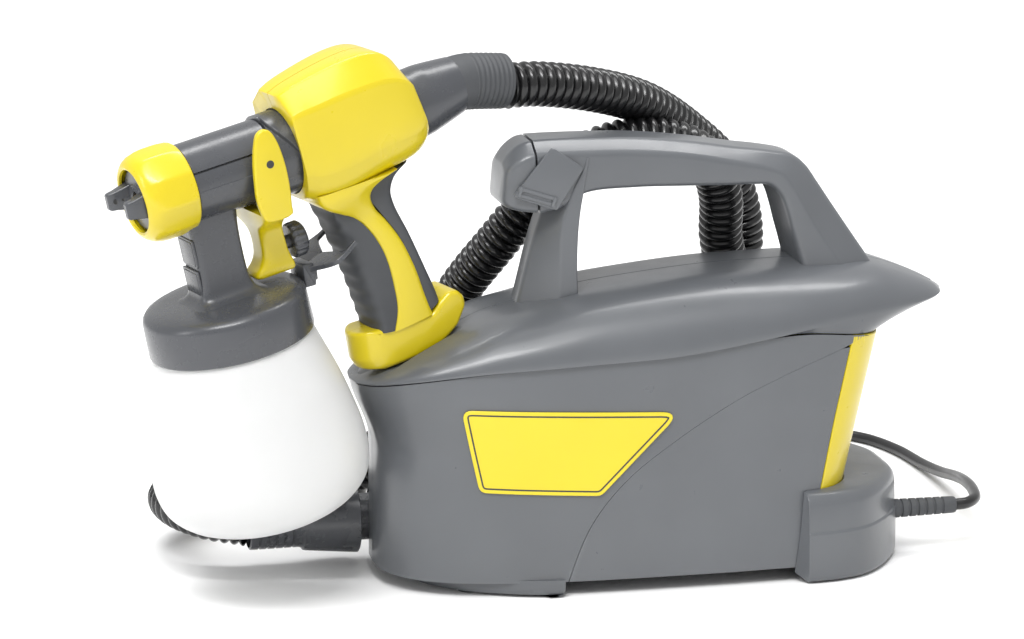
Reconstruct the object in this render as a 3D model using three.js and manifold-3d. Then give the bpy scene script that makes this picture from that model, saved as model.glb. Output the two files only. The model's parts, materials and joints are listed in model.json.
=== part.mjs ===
// Paint spray gun standing in the dock of its floor-standing air turbine, with air hose and mains lead.
// Millimetres, +Z up. The turbine unit points along -X and stands on Z = 0.
import * as THREE from 'three';
import * as BufferGeometryUtils from 'three/addons/utils/BufferGeometryUtils.js';
import Module from 'manifold-3d';

const wasm = await Module();
wasm.setup();

// ---------------------------------------------------------------- driving dimensions
const GAP = 0.3;                 // clearance between touching pieces
const ORIGIN = [-72, -10];       // centre of the footprint, in the turbine unit's own plan

// turbine unit
const WALL = 3;                  // moulded wall
const BODY_BOTTOM = 9;           // lower edge of the side panels
const FOOT_BOTTOM = 1;           // moulded feet stop this far above the floor
const NOSE_X = -168;             // front of the lower body
const TAIL_X = 120;              // rear of the lower body at mid height
const MID_Z = 80;                // height at which the plan outline is drawn
const TAIL_LEAN = 0.24;          // the rear wall leans out this much per mm of height
const HULL_TOP_SHARE = 0.42;     // width of the deck as a share of the hull's plan
const HANDLE_HALF = 23;          // half width of the carry handle
const OUTLET_Y = 27;             // axis of the air outlet
const OUTLET_Z = 28.5;
const MOTOR_Z = 66;              // axis of motor and fans

// gun
const GUN_AT = [-266.7, -38, 252.8];  // barrel axis meets column axis
const GUN_YAW = 15;              // degrees
const GUN_TILT = 12.5;           // degrees, rear up
const BARREL_R = 23;
const COLUMN_X = -8.5;           // axis of column, lid and cup
const LID_R = 49.5;
const CUP_TOP = -82;
const CUP_BOTTOM = -205;
const PIVOT = [26, 4];           // trigger pivot, x and z
const SHELL_HALF = 29;
const HANDLE_W = 15.5;           // half width of the hand grip
const FOOT_Z = -140.5;           // underside of the grip's foot

// soft lines
const LEAD_Y = -25;              // where the mains lead leaves the rear foot
const LEAD_Z = 27;
const HOSE_D = 27;
const LEAD_D = 7;
const COIL_R = 38.5;             // middle of the coil's turns: four side by side, in two layers
const COIL_AT = [88, 192];
const COIL_HALF = 2 * LEAD_D;    // half of the coil's section
const COIL_H = 2 * LEAD_D + 0.1;

// ---------------------------------------------------------------- materials
const paint = (color, roughness, metalness = 0) =>
  new THREE.MeshStandardMaterial({ color, roughness, metalness });
const M = {
  housing: paint(0x6a6e72, 0.45),
  dark: paint(0x4c5054, 0.5),
  yellow: paint(0xf2dc2a, 0.35),
  rubber: paint(0x3a3d40, 0.8),
  black: paint(0x121314, 0.25),
  cup: paint(0xf4f4f2, 0.4),
  steel: paint(0xb8bcc0, 0.3, 1),
  brass: paint(0xc2a050, 0.35, 1),
  white: paint(0xe8e8e4, 0.6),
  foam: paint(0x2b2c2e, 0.95),
};

// ---------------------------------------------------------------- helpers
function toSolid(geometry) {
  let g = geometry.clone();
  g.deleteAttribute('normal');
  g.deleteAttribute('uv');
  g = BufferGeometryUtils.mergeVertices(g, 1e-4);
  return new wasm.Manifold(new wasm.Mesh({
    numProp: 3,
    vertProperties: new Float32Array(g.attributes.position.array),
    triVerts: new Uint32Array(g.index.array),
  }));
}

function toGeometry(solid) {
  const mesh = solid.getMesh();
  const g = new THREE.BufferGeometry();
  g.setAttribute('position', new THREE.BufferAttribute(new Float32Array(mesh.vertProperties), 3));
  g.setIndex(new THREE.BufferAttribute(new Uint32Array(mesh.triVerts), 1));
  g.computeVertexNormals();
  return g;
}

const asSolid = (s) => (s.isBufferGeometry ? toSolid(s) : s);
const cut = (a, ...rest) => rest.reduce((s, b) => s.subtract(asSolid(b)), asSolid(a));
const join = (a, ...rest) => rest.reduce((s, b) => s.add(asSolid(b)), asSolid(a));
const common = (a, b) => asSolid(a).intersect(asSolid(b));

function polygon(points) {
  return new THREE.Shape(points.map(([x, y]) => new THREE.Vector2(x, y)));
}

// closed outline through a few points, as a smooth curve sampled n times
function smooth(points, n, closed = true) {
  const curve = new THREE.CatmullRomCurve3(
    points.map(([x, y]) => new THREE.Vector3(x, y, 0)), closed, 'centripetal');
  const sampled = curve.getPoints(n).map((p) => [p.x, p.y]);
  return closed ? sampled.slice(0, -1) : sampled;
}

// plan outline given by its +Y half, mirrored across the X axis
function mirrored(half) {
  const inner = half.filter(([, y]) => y > 1e-6);
  const lower = inner.map(([x, y]) => [x, -y]).reverse();
  return [...half, ...lower];
}

// outline grown by d away from its middle
const grow = (points, d) => {
  const cx = points.reduce((s, p) => s + p[0], 0) / points.length;
  const cz = points.reduce((s, p) => s + p[1], 0) / points.length;
  return points.map(([x, z]) => {
    const l = Math.hypot(x - cx, z - cz);
    return [x + (d * (x - cx)) / l, z + (d * (z - cz)) / l];
  });
};
const shift = (points, dx, dz = 0) => points.map(([x, z]) => [x + dx, z + dz]);

function prismZ(points, z0, z1, steps = 1) {
  const g = new THREE.ExtrudeGeometry(polygon(points), { depth: z1 - z0, bevelEnabled: false, steps });
  return g.translate(0, 0, z0);
}

// side profile in X and Z, extruded from y0 to y1, with an optional rounded edge
function prismY(points, y0, y1, bevel = 0, segments = 2) {
  const g = new THREE.ExtrudeGeometry(polygon(points), {
    depth: y1 - y0 - 2 * bevel,
    bevelEnabled: bevel > 0,
    bevelThickness: bevel,
    bevelSize: bevel,
    bevelOffset: -bevel,
    bevelSegments: segments,
    steps: 1,
  });
  return g.translate(0, 0, bevel).rotateX(Math.PI / 2).translate(0, y1, 0);
}

function boxAt(x0, x1, y0, y1, z0, z1) {
  const g = new THREE.BoxGeometry(x1 - x0, y1 - y0, z1 - z0);
  return g.translate((x0 + x1) / 2, (y0 + y1) / 2, (z0 + z1) / 2);
}

// profile points are [radius, distance along the axis], in either direction round the section
function latheZ(profile, n = 32) {
  let area = 0;
  profile.forEach(([r, t], i) => {
    const [r2, t2] = profile[(i + 1) % profile.length];
    area += r * t2 - r2 * t;
  });
  const ordered = area > 0 ? profile : profile.slice().reverse();
  const g = new THREE.LatheGeometry(ordered.map(([r, t]) => new THREE.Vector2(r, t)), n);
  return g.rotateX(Math.PI / 2);
}
const latheX = (profile, n = 32) => latheZ(profile, n).rotateY(Math.PI / 2);
const rodX = (r, x0, x1, n = 24) => latheX([[0, x0], [r, x0], [r, x1], [0, x1]], n);
const rodZ = (r, z0, z1, n = 24) => latheZ([[0, z0], [r, z0], [r, z1], [0, z1]], n);
const rodY = (r, y0, y1, n = 24) => rodZ(r, -y1, -y0, n).rotateX(Math.PI / 2);
const ringX = (r0, r1, x0, x1, n = 32) => latheX([[r0, x0], [r1, x0], [r1, x1], [r0, x1], [r0, x0]], n);
const ringZ = (r0, r1, z0, z1, n = 32) => latheZ([[r0, z0], [r1, z0], [r1, z1], [r0, z1], [r0, z0]], n);

// moves every vertex by a function of its place
function warp(geometry, place) {
  const p = geometry.attributes.position;
  for (let i = 0; i < p.count; i += 1) {
    p.setXYZ(i, ...place(p.getX(i), p.getY(i), p.getZ(i)));
  }
  return geometry;
}

function tube(points, diameter, sides, steps) {
  const section = new THREE.Shape();
  for (let i = 0; i < sides; i += 1) {
    const a = (2 * Math.PI * i) / sides;
    const place = [Math.cos(a) * diameter / 2, Math.sin(a) * diameter / 2];
    if (i === 0) section.moveTo(...place);
    else section.lineTo(...place);
  }
  section.closePath();
  const path = new THREE.CatmullRomCurve3(points.map((p) => new THREE.Vector3(...p)), false,
    'centripetal');
  return new THREE.ExtrudeGeometry(section, { steps, extrudePath: path, bevelEnabled: false,
    curveSegments: 1 });
}

function lerp(table, t) {
  let i = 0;
  while (i < table.length - 2 && t > table[i + 1][0]) i += 1;
  const [t0, v0] = table[i];
  const [t1, v1] = table[i + 1];
  const u = Math.min(1, Math.max(0, (t - t0) / (t1 - t0)));
  return v0 + (v1 - v0) * u;
}

const product = new THREE.Group();
product.position.set(-ORIGIN[0], -ORIGIN[1], 0);
const gun = new THREE.Group();
gun.position.set(...GUN_AT);
gun.rotation.order = 'ZYX';
gun.rotation.set(0, -THREE.MathUtils.degToRad(GUN_TILT), THREE.MathUtils.degToRad(GUN_YAW));
product.add(gun);
gun.updateMatrix();

function add(parent, name, shape, material) {
  const geometry = shape.isBufferGeometry ? shape : toGeometry(shape);
  const mesh = new THREE.Mesh(geometry, material);
  mesh.name = name;
  parent.add(mesh);
  return mesh;
}
const unit = (name, shape, material) => add(product, name, shape, material);
const ofGun = (name, shape, material) => add(gun, name, shape, material);
const inUnit = (geometry) => geometry.applyMatrix4(gun.matrix);

// ---------------------------------------------------------------- turbine unit: lower body
const BODY_HALF = smooth([
  [NOSE_X, 0], [-166, 18], [-155, 36], [-134, 49], [-104, 57], [-60, 62], [0, 64], [60, 64],
  [96, 61], [112, 47], [119, 24], [TAIL_X, 0],
], 18, false);
const NOSE_FLARE = [[12, 1], [85, 1], [106, 1.05], [118, 1.07], [170, 1.07]];
const SIDE_FLARE = [[9, 1.1], [40, 1.05], [80, 1], [130, 0.96], [170, 0.93]];
const BODY_STEPS = 5;
const BODY_TOP = 172;

function body(inset, z0, z1) {
  const shrink = 1 - inset / 62;
  const outline = mirrored(BODY_HALF).map(([x, y]) => [x * (1 - inset / 140), y * shrink]);
  return warp(prismZ(outline, z0, z1, BODY_STEPS), (x, y, z) => {
    const scale = x < 0 ? lerp(NOSE_FLARE, z) : 1 + (TAIL_LEAN * (z - MID_Z)) / TAIL_X;
    return [x * scale, y * lerp(SIDE_FLARE, z), z];
  });
}

// height of the crease between lower body and hull, along X
const CREASE = [[-184, 120], [-150, 127], [-110, 132.5], [-60, 135.5], [0, 138.5], [50, 145],
  [110, 154], [184, 157]];
const SEAM = smooth([[-69, -5], [-52, 39], [-30, 66], [1, 89], [38, 111], [65, 123], [104, 138],
  [140, 150], [190, 172]], 20, false);
const BAND_LINE = [[77, -10], [84, 30], [88, 52], [97, 95], [107, 138], [114, 172]];

const belowCrease = prismY([[-200, -10], ...CREASE.map(([x, z]) => [x, z - GAP / 2]), [200, 156],
  [200, -10]], -100, 100);
const skin = common(cut(body(0, BODY_BOTTOM, BODY_TOP), body(WALL, BODY_BOTTOM + WALL,
  BODY_TOP + 5)), belowCrease);

function besideCurve(points, side, gap) {
  const moved = points.map(([x, z]) => [x + side * gap, z]);
  const far = side * 400;
  return prismY([[moved[0][0], -50], ...moved, [moved.at(-1)[0], 400], [far, 400], [far, -50]],
    -110, 110);
}

const frontSide = besideCurve(SEAM, -1, GAP / 2);
const rearSide = besideCurve(SEAM, 1, GAP / 2);
const bandSide = besideCurve(BAND_LINE, 1, GAP / 2);
const forwardOfBand = besideCurve(BAND_LINE, -1, GAP / 2);

const FOOT_HALF = smooth([[-150, 0], [-145, 27], [-126, 48], [-102, 61], [-76, 69], [-70, 69]], 10,
  false);
function frontFoot() {
  const ring = mirrored([...FOOT_HALF.slice(0, -1), [-66, 69.3]]);
  return prismZ(ring, FOOT_BOTTOM, BODY_BOTTOM + 1.5);
}

const outletHole = rodX(18.5, -190, -130).translate(0, OUTLET_Y, OUTLET_Z);
const filterHole = boxAt(12, 58, 40, 90, 28, 74);

unit('front_shell', cut(join(common(skin, frontSide), frontFoot()), outletHole), M.housing);
unit('rear_shell', cut(common(common(skin, rearSide), forwardOfBand), filterHole), M.housing);
const SWITCH_Z = 100;
const SWITCH_X = TAIL_X + TAIL_LEAN * (SWITCH_Z - MID_Z);
const switchHole = boxAt(SWITCH_X - 12, SWITCH_X + 12, -7.5, 7.5, SWITCH_Z - 9.8, SWITCH_Z + 9.8);
unit('rear_band', cut(common(common(skin, rearSide), bandSide), switchHole), M.yellow);

// ---------------------------------------------------------------- turbine unit: hull and deck
const HULL_HALF = smooth([
  [-181, 0], [-178, 14], [-168, 27], [-150, 41], [-126, 51], [-90, 59], [-30, 63], [40, 63],
  [92, 58], [132, 47], [160, 33], [175, 17], [181, 0],
], 20, false);
const DECK = [
  [-184, 121], [-176, 127], [-150, 139], [-120, 151], [-104, 157.5], [-81, 163], [-50, 170],
  [0, 176], [40, 179], [105, 180], [135, 178.5], [151, 172.5], [171, 163.5], [184, 158],
];

function hull(inset) {
  const outline = mirrored(HULL_HALF).map(([x, y]) => [x * (1 - inset / 150), y * (1 - inset / 55)]);
  return warp(prismZ(outline, 0, 1, 6), (x, y, t) => {
    const low = lerp(CREASE, x);
    const high = Math.max(lerp(DECK, x) - inset, low + 1);
    const share = Math.sin(t * Math.PI * 0.5);
    const width = HULL_TOP_SHARE + (1 - HULL_TOP_SHARE) * Math.cos(t * Math.PI * 0.5);
    const height = t === 0 ? low - 8 : low + (high - low) * share;
    return [x * (1 - 0.04 * t), y * width, height];
  });
}

// side profile of the grip's foot, in the gun's own frame
const FOOT = [
  [61, -116], [60, -133], [63, -139], [68, FOOT_Z], [95, FOOT_Z], [113, -137.5], [125, -130],
  [132.5, -120], [132, -114], [128, -109.5], [122, -109], [116, -113], [110, -118],
];
const seat = inUnit(prismY([
  [50, -60], [58.5, -133], [62, -140], [67.5, FOOT_Z - 1], [95.5, FOOT_Z - 1], [113.8, -138.4],
  [126, -130.6], [134, -120.2], [136, -60],
], -HANDLE_W - 2, HANDLE_W + 2));
const hullRoom = common(hull(WALL), boxAt(-96, 170, -80, 80, 100, 200));
const aboveCrease = prismY([[-200, 220], ...CREASE.map(([x, z]) => [x, z + GAP / 2]), [200, 158],
  [200, 220]], -100, 100);
unit('top_cover', cut(common(hull(0), aboveCrease), hullRoom, seat), M.housing);

// ---------------------------------------------------------------- turbine unit: carry handle
const HANDLE_OUTER = [
  [-82, 156], [-80, 172], [-75, 192], [-71, 206], [-67.5, 217], [-90, 221.5], [-93.4, 228],
  [-92, 244], [-87.5, 252.5], [-80, 258.4], [-73, 260], [-54, 260.2], [-11, 259], [49, 251],
  [70, 248], [84, 244.6], [92.5, 238], [108.5, 215], [129, 185], [146, 156],
];
const HANDLE_INNER = [
  [91, 156], [87.4, 180], [82, 200], [76, 221], [68, 228.2], [58, 229.4], [16, 230], [-38, 231],
  [-45.5, 226], [-49, 205], [-48.5, 156],
];
function handleSolid() {
  const bar = prismY([...HANDLE_OUTER, ...HANDLE_INNER], -HANDLE_HALF, HANDLE_HALF, 5, 2);
  const above = warp(hull(0), (x, y, z) => [x, y, z + GAP]);
  return cut(bar, above);
}
const FLAP = [[-65, 258], [-88.5, 229.5], [-62, 220.5], [-46, 245]];
unit('carry_handle', handleSolid(), M.housing);
unit('accessory_flap', prismY(FLAP, -HANDLE_HALF - 2.6, -HANDLE_HALF - GAP), M.housing);

function hoseClip() {
  const at = [-59, 43.5, 214.5];
  const loop = cut(ringX(HOSE_D / 2 + 1.6, HOSE_D / 2 + 4, -5, 5, 20), boxAt(-9, 9, 6, 30, -30, 30));
  const stem = boxAt(-5, 5, -19.8, -15.4, -6, 6);
  return toGeometry(join(loop, stem)).rotateY(-0.8).translate(...at);
}
unit('hose_clip', hoseClip(), M.dark);

// ---------------------------------------------------------------- turbine unit: base, feet, rear foot
const basePlate = common(body(WALL + 0.4, BODY_BOTTOM + WALL + GAP, 15), boxAt(-160, 110, -90, 90,
  0, 40));
unit('base_plate', cut(basePlate, rodX(18.6, -190, -100, 16).translate(0, OUTLET_Y, OUTLET_Z)), M.dark);

const REAR_FOOT_HALF = smooth([[151, 0], [149, 24], [132, 54], [115, 70], [98, 76], [80, 77.5]],
  10, false);
function rearFoot() {
  const ring = mirrored([...REAR_FOOT_HALF.slice(0, -1), [78, 77.5]]);
  const block = warp(prismZ(ring, FOOT_BOTTOM, 54, 3), (x, y, z) => {
    const k = z > 50 ? 0.96 : 1;
    return [78 + (x - 78) * k, y * (1 - 0.0006 * z) * k, z];
  });
  const room = prismZ(mirrored([[120, 0], [118, 30], [104, 56], [60, 62]]), 12, 48);
  return cut(block, body(-0.4, BODY_BOTTOM - 1, 70), room, rodX(6.2, 130, 170, 16).translate(0,
    LEAD_Y, LEAD_Z + 0.5));
}
unit('rear_foot', rearFoot(), M.housing);

const FEET = [['front_right', -118, -40], ['front_left', -118, 40], ['rear_right', 112, -54],
  ['rear_left', 112, 54]];
for (const [place, x, y] of FEET) {
  unit(`rubber_foot_${place}`, rodZ(7, 0, FOOT_BOTTOM - GAP / 3, 20).translate(x, y, 0), M.rubber);
}

// ---------------------------------------------------------------- turbine unit: labels
const LABEL = [[-125, 112], [3, 106], [-45, 59], [-115, 63]];
const labelSkin = cut(body(-1.8, 30, 130), body(-0.9, 20, 140));
function label(y0, y1) {
  return common(labelSkin, prismY(LABEL, y0, y1));
}
unit('label_plate_right', label(-90, -20), M.yellow);
unit('label_plate_left', label(20, 90), M.yellow);

// ---------------------------------------------------------------- turbine unit: air filter
function filterCover() {
  const plate = common(cut(body(0, 20, 90), body(2.5, 10, 100)), boxAt(12.5, 57.5, 40, 90, 28.5, 73.5));
  const slots = [];
  for (let i = 0; i < 5; i += 1) {
    slots.push(boxAt(19, 51, 40, 90, 34 + i * 7.5, 37.5 + i * 7.5));
  }
  return cut(plate, ...slots);
}
unit('filter_cover', filterCover(), M.dark);
unit('air_filter', boxAt(14, 56, 48, 56.5, 30, 72), M.foam);

// ---------------------------------------------------------------- turbine unit: motor and fans
const onMotor = (g) => g.translate(0, 0, MOTOR_Z);
unit('motor_can', onMotor(ringX(5, 34, -42, 36, 32)), M.steel);
unit('motor_mount_front', onMotor(ringX(34.4, 42, -36, -24, 24)), M.rubber);
unit('motor_mount_rear', onMotor(ringX(34.4, 42, 16, 28, 24)), M.rubber);

function fanDrum() {
  const shell = latheX([[8, -104], [48, -104], [48, -46], [16, -46], [16, -48.5], [45.5, -48.5],
    [45.5, -101.5],
    [8, -101.5], [8, -104]], 32);
  const port = rodX(12, -110, -98, 20).translate(0, OUTLET_Y, OUTLET_Z - MOTOR_Z + 4);
  return cut(shell, port);
}
unit('fan_housing', onMotor(toGeometry(fanDrum())), M.dark);

function impeller(x) {
  let wheel = join(ringX(4.3, 9, x, x + 12, 16), ringX(4.3, 42, x, x + 2, 24));
  for (let i = 0; i < 8; i += 1) {
    const blade = boxAt(x + 1, x + 11, -0.8, 0.8, 8, 41).rotateX((i * Math.PI) / 4);
    wheel = join(wheel, blade);
  }
  return toGeometry(wheel);
}
unit('impeller_front', onMotor(impeller(-98)), M.white);
unit('impeller_rear', onMotor(impeller(-74)), M.white);
unit('motor_shaft', onMotor(rodX(4, -99.5, 46, 16)), M.steel);

const outletAt = (g) => g.translate(0, OUTLET_Y, OUTLET_Z);
unit('outlet_socket', outletAt(latheX([[11.5, -190], [14, -190], [14, -163], [18, -163],
  [18, -150], [14, -150],
  [14, -108], [11.5, -108], [11.5, -190]], 24)), M.dark);

// ---------------------------------------------------------------- turbine unit: switch
unit('power_switch', prismY([[-6, -8.5], [1, -8.5], [3.2, -7], [1.6, 0], [2.4, 8.5], [-6, 8.5]], -7, 7)
  .translate(SWITCH_X + 2.6, 0, SWITCH_Z), M.black);

// ---------------------------------------------------------------- gun: spray head
function roundedRect(hx, hy, r, n = 4) {
  const points = [];
  for (const [cx, cy, start] of [[hx - r, hy - r, 0], [r - hx, hy - r, 90], [r - hx, r - hy, 180],
    [hx - r, r - hy, 270]]) {
    for (let i = 0; i <= n; i += 1) {
      const a = THREE.MathUtils.degToRad(start + (90 * i) / n);
      points.push([cx + r * Math.cos(a), cy + r * Math.sin(a)]);
    }
  }
  return points;
}
const atColumn = (g) => g.translate(COLUMN_X, 0, 0);

function sprayHead() {
  const barrel = rodX(BARREL_R, -16.5, 34, 40);
  const thread = rodX(20.5, -34, -16, 32);
  const neck = rodX(21, 33, 52, 32);
  const column = cut(atColumn(prismZ(roundedRect(16, 13, 6), -69.6, -14)), rodX(26.6, -60, -16.6, 40));
  const bore = rodX(17, -40, 49, 24);
  const mouth = rodX(4, 48, 60, 12);
  const riser = atColumn(rodZ(5, -80, -5, 12));
  const slot = boxAt(20, 33, -30, 30, -13, -3);
  const pinHole = rodY(1.8, -30, 30, 10).translate(PIVOT[0], 0, PIVOT[1]);
  return cut(join(barrel, thread, neck, column), bore, mouth, riser, slot, pinHole);
}
ofGun('spray_head', sprayHead(), M.dark);
ofGun('fluid_tube', latheX([[3.2, -31], [8, -31], [8, -6], [16.6, -6], [16.6, -3], [8, -3],
  [8, 20], [3.2, 20],
  [3.2, -31]], 20), M.brass);
ofGun('nozzle_seal', ringX(3.4, 7.5, -33.2, -31.3, 20), M.rubber);
ofGun('fluid_nozzle', latheX([[3.4, -33.5], [8.5, -33.5], [8.5, -37], [5.5, -40], [2.6, -46.5],
  [1.2, -46.5],
  [1.2, -44], [3.4, -38], [3.4, -33.5]], 20), M.brass);
ofGun('needle', latheX([[0, -44.8], [0.7, -44], [1.9, -38], [1.9, 29.2], [10.5, 29.2], [10.5, 32],
  [1.9, 32],
  [1.9, 47], [0, 47]], 14), M.steel);

class Helix extends THREE.Curve {
  constructor(radius, x0, x1, turns) {
    super();
    Object.assign(this, { radius, x0, x1, turns });
  }

  getPoint(t) {
    const a = 2 * Math.PI * this.turns * t;
    return new THREE.Vector3(this.x0 + (this.x1 - this.x0) * t, this.radius * Math.cos(a),
      this.radius * Math.sin(a));
  }
}
function wire(path, d, steps) {
  const section = polygon(roundedRect(d / 2, d / 2, d / 2.01, 1));
  return new THREE.ExtrudeGeometry(section, { steps, extrudePath: path, bevelEnabled: false });
}
ofGun('needle_spring', wire(new Helix(6, 33.2, 45.4, 4), 1.2, 32), M.steel);

function airCap() {
  const disc = latheX([[5, -44.5], [17, -44.5], [19.4, -40], [19.4, -35.5], [18.6, -35.5],
    [18.6, -39.5],
    [16.5, -42.3], [5, -42.3], [5, -44.5]], 32);
  const horn = [[-43.5, 8.5], [-61, 11.5], [-61, 16], [-43.5, 17]];
  const near = prismZ(horn.map(([x, y]) => [x, -y]), -4, 4);
  return join(disc, prismZ(horn, -4, 4), near);
}
ofGun('air_cap', airCap(), M.dark);
ofGun('air_cap_nut', latheX([[21, -17], [25.2, -17], [26, -24], [26, -38], [24, -44],
  [20.5, -47.5], [17.9, -47.5],
  [17.9, -45.2], [20.2, -44], [21, -40], [21, -17]], 32), M.yellow);
ofGun('twist_collar', ringX(21.4, 24.8, 34.4, 51.8, 32), M.dark);

// ---------------------------------------------------------------- gun: trigger
const TRIGGER = [
  [20, 19], [23, 23.5], [29, 23.5], [33, 17], [35.6, -2], [33.2, -19], [31.6, -28], [31, -42],
  [32.4, -57], [35.2, -63.5], [34.4, -65.5], [12, -65], [11, -61.5], [16, -55], [17, -44], [16, -28],
  [13.8, -18], [14.4, -6], [17, 8],
];
const ARM_IN = 25.2;
const ARM_OUT = 29.5;
function trigger() {
  const whole = prismY(TRIGGER, -ARM_OUT, ARM_OUT, 1.5, 1);
  const aroundBarrel = boxAt(0, 60, -ARM_IN, ARM_IN, -24.6, 40);
  const underCollar = boxAt(28, 60, -ARM_IN, ARM_IN, -30, -20);
  const aboveFarArm = boxAt(0, 60, ARM_IN - 1, 40, 12, 40);
  const besideBlade = [1, -1].map((side) => boxAt(0, 60, side > 0 ? 9 : -40,
    side > 0 ? 40 : -9, -80, -32));
  const pinHole = rodY(1.8, -40, 40, 10).translate(PIVOT[0], 0, PIVOT[1]);
  const pegs = [1, -1].map((side) => {
    const near = side > 0 ? 6.5 : -ARM_IN - 0.5;
    return rodY(2.2, near, near + ARM_IN - 6, 10).translate(PIVOT[0], 0, -8);
  });
  return join(cut(whole, aroundBarrel, underCollar, aboveFarArm, ...besideBlade, pinHole), ...pegs);
}
ofGun('trigger', trigger(), M.yellow);
ofGun('trigger_pin', rodY(1.5, -ARM_OUT + 0.6, ARM_OUT - 0.6, 12).translate(PIVOT[0], 0, PIVOT[1]),
  M.steel);
ofGun('flow_knob', latheX([[0, 32.9], [4, 32.9], [4, 38], [10.5, 38.6], [10.5, 46], [8.5, 47.5],
  [0, 47.5]], 24)
  .translate(0, 0, -52), M.dark);

// ---------------------------------------------------------------- gun: lid, cup and pick-up
ofGun('cup_lid', atColumn(latheZ([[5, -70], [16, -70], [40, -72.5], [46, -75.5], [49, -80],
  [LID_R, -98], [46.8, -98],
  [46.8, -81], [44, -77.6], [5, -75], [5, -70]], 32)), M.dark);
ofGun('cup_gasket', atColumn(ringZ(41, 44.2, -81.7, -78.2, 32)), M.rubber);
const CUP = [
  [44.3, CUP_TOP], [44.3, -97.6], [48, -100], [51.5, -112], [56, -128], [60.5, -147], [63, -163],
  [62.8, -178], [59, -190], [50, -199], [41, -203.5], [36, CUP_BOTTOM],
];
const CUP_WALL = 1.8;
function paintCup() {
  const inside = CUP.map(([r, z]) => [r - CUP_WALL, Math.max(z, CUP_BOTTOM + CUP_WALL)]).reverse();
  return atColumn(latheZ([...CUP, [0, CUP_BOTTOM], [0, CUP_BOTTOM + CUP_WALL], ...inside.slice(1),
    CUP[0]], 32));
}
ofGun('paint_cup', paintCup(), M.cup);
ofGun('suction_tube', atColumn(ringZ(2.4, 4, -197, -40, 12)), M.white);

const FORK = [
  [41.8, -73], [41.8, -66.5], [47, -65], [56, -60.5], [66, -50.5], [69, -51.5], [64.5, -60],
  [57, -67], [48, -73],
];
function gripFork() {
  const whole = prismY(FORK, -23.5, 23.5);
  const between = boxAt(46.5, 80, -19.6, 19.6, -80, -40);
  const lugs = [1, -1].map((side) => boxAt(38.5, 44, side > 0 ? 20 : -27, side > 0 ? 27 : -20, -75,
    -61));
  return join(cut(whole, between), ...lugs);
}
ofGun('grip_fork', gripFork(), M.dark);

// ---------------------------------------------------------------- gun: shells, grips and foot
const SHELL = [
  [46, 38], [60, 42.5], [78, 46], [99, 48], [111, 46], [120, 40], [126, 28], [131, 12], [134, -3],
  [134.5, -12],
  [131, -19.5], [124, -24], [114, -26.5], [98, -28], [84, -31], [72, -33.5], [60, -33.5], [49, -28.5],
];
const FRONT_EDGE = [[83.6, -120.3], [88.5, -108], [89.5, -94], [88, -74], [83, -59], [75, -47],
  [66, -40.5], [61, -36]];
const REAR_EDGE = [[86.5, -31], [84.5, -36], [88, -46], [93, -54], [100, -69], [105, -88],
  [107.5, -106], [109, -117.6]];
const GRIP = [
  [64, -20], [96, -20], ...REAR_EDGE, ...FOOT.slice().reverse(), [72, -118.5], ...FRONT_EDGE, [58, -30],
];

function gunBody() {
  const body = prismY(SHELL, -SHELL_HALF, SHELL_HALF, 9, 3);
  const grip = prismY(GRIP, -HANDLE_W, HANDLE_W, 3, 1);
  const room = prismY(grow(SHELL, -3.2), -SHELL_HALF + 3, SHELL_HALF - 3, 7, 2);
  const front = rodX(25.2, 40, 52.4, 40);
  const rear = rodX(20.8, 115, 150, 32).translate(0, 0, 2);
  const screwHoles = SHELL_SCREWS.map(([x, z]) => rodY(3, 25, 35, 12).translate(x, 0, z));
  return cut(join(body, grip), room, front, rear, ...screwHoles);
}
const SHELL_SCREWS = [[68, 30], [112, 28]];
const whole = gunBody();
ofGun('gun_shell_right', common(whole, boxAt(0, 200, -50, -GAP / 2, -200, 100)), M.yellow);
ofGun('gun_shell_left', common(whole, boxAt(0, 200, GAP / 2, 50, -200, 100)), M.yellow);
SHELL_SCREWS.forEach(([x, z], i) => {
  ofGun(`shell_screw_${i + 1}`, rodY(2.6, 26.4, 28.4, 12).translate(x, 0, z), M.steel);
});

ofGun('front_grip', prismY([
  [60.6, -37.2], [62, -46], [64, -59], [67, -74], [70, -91], [72, -105], [74.5, -117.6],
  ...shift(FRONT_EDGE.slice(0, -1), -0.5, 0.3),
], -HANDLE_W - 1, HANDLE_W + 1, 1, 1), M.rubber);
ofGun('rear_grip', prismY([
  ...shift(REAR_EDGE, 0.9, 0).slice(1, -1), [110.4, -116.4], [117.8, -110.4], [117, -104],
  [113, -87], [108, -66], [103, -47], [103.5, -38],
  [108, -32], [116, -27.6], [98, -29], [90, -30.6],
], -HANDLE_W + 1.5, HANDLE_W - 1.5, 1, 1), M.rubber);

// ---------------------------------------------------------------- gun: air inlet
ofGun('gun_air_duct', ringX(12, 14, 54, 122.5, 24).translate(0, 0, 1), M.dark);
function inletPlace(x, y, z) {
  return [x, y, z + 2 + Math.max(0, x - 132) * 0.1];
}
ofGun('hose_adaptor', warp(latheX([[11, 123.5], [20.3, 123.5], [20.3, 137], [17.6, 160], [11, 160],
  [11, 123.5]], 32),
  inletPlace), M.dark);
const CUFF = [[161, 0, 4.8], [166, 0, 4.6], [178, 0, 1.4], [191.6, 0, -2.8]];
const CUFF_BORE = [[150, 0, 5], ...CUFF.slice(1), [206, 0, -7.3]];
ofGun('hose_cuff', cut(tube(CUFF, 32.8, 24, 5), tube(CUFF_BORE, 22, 12, 7)), M.rubber);

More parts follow.
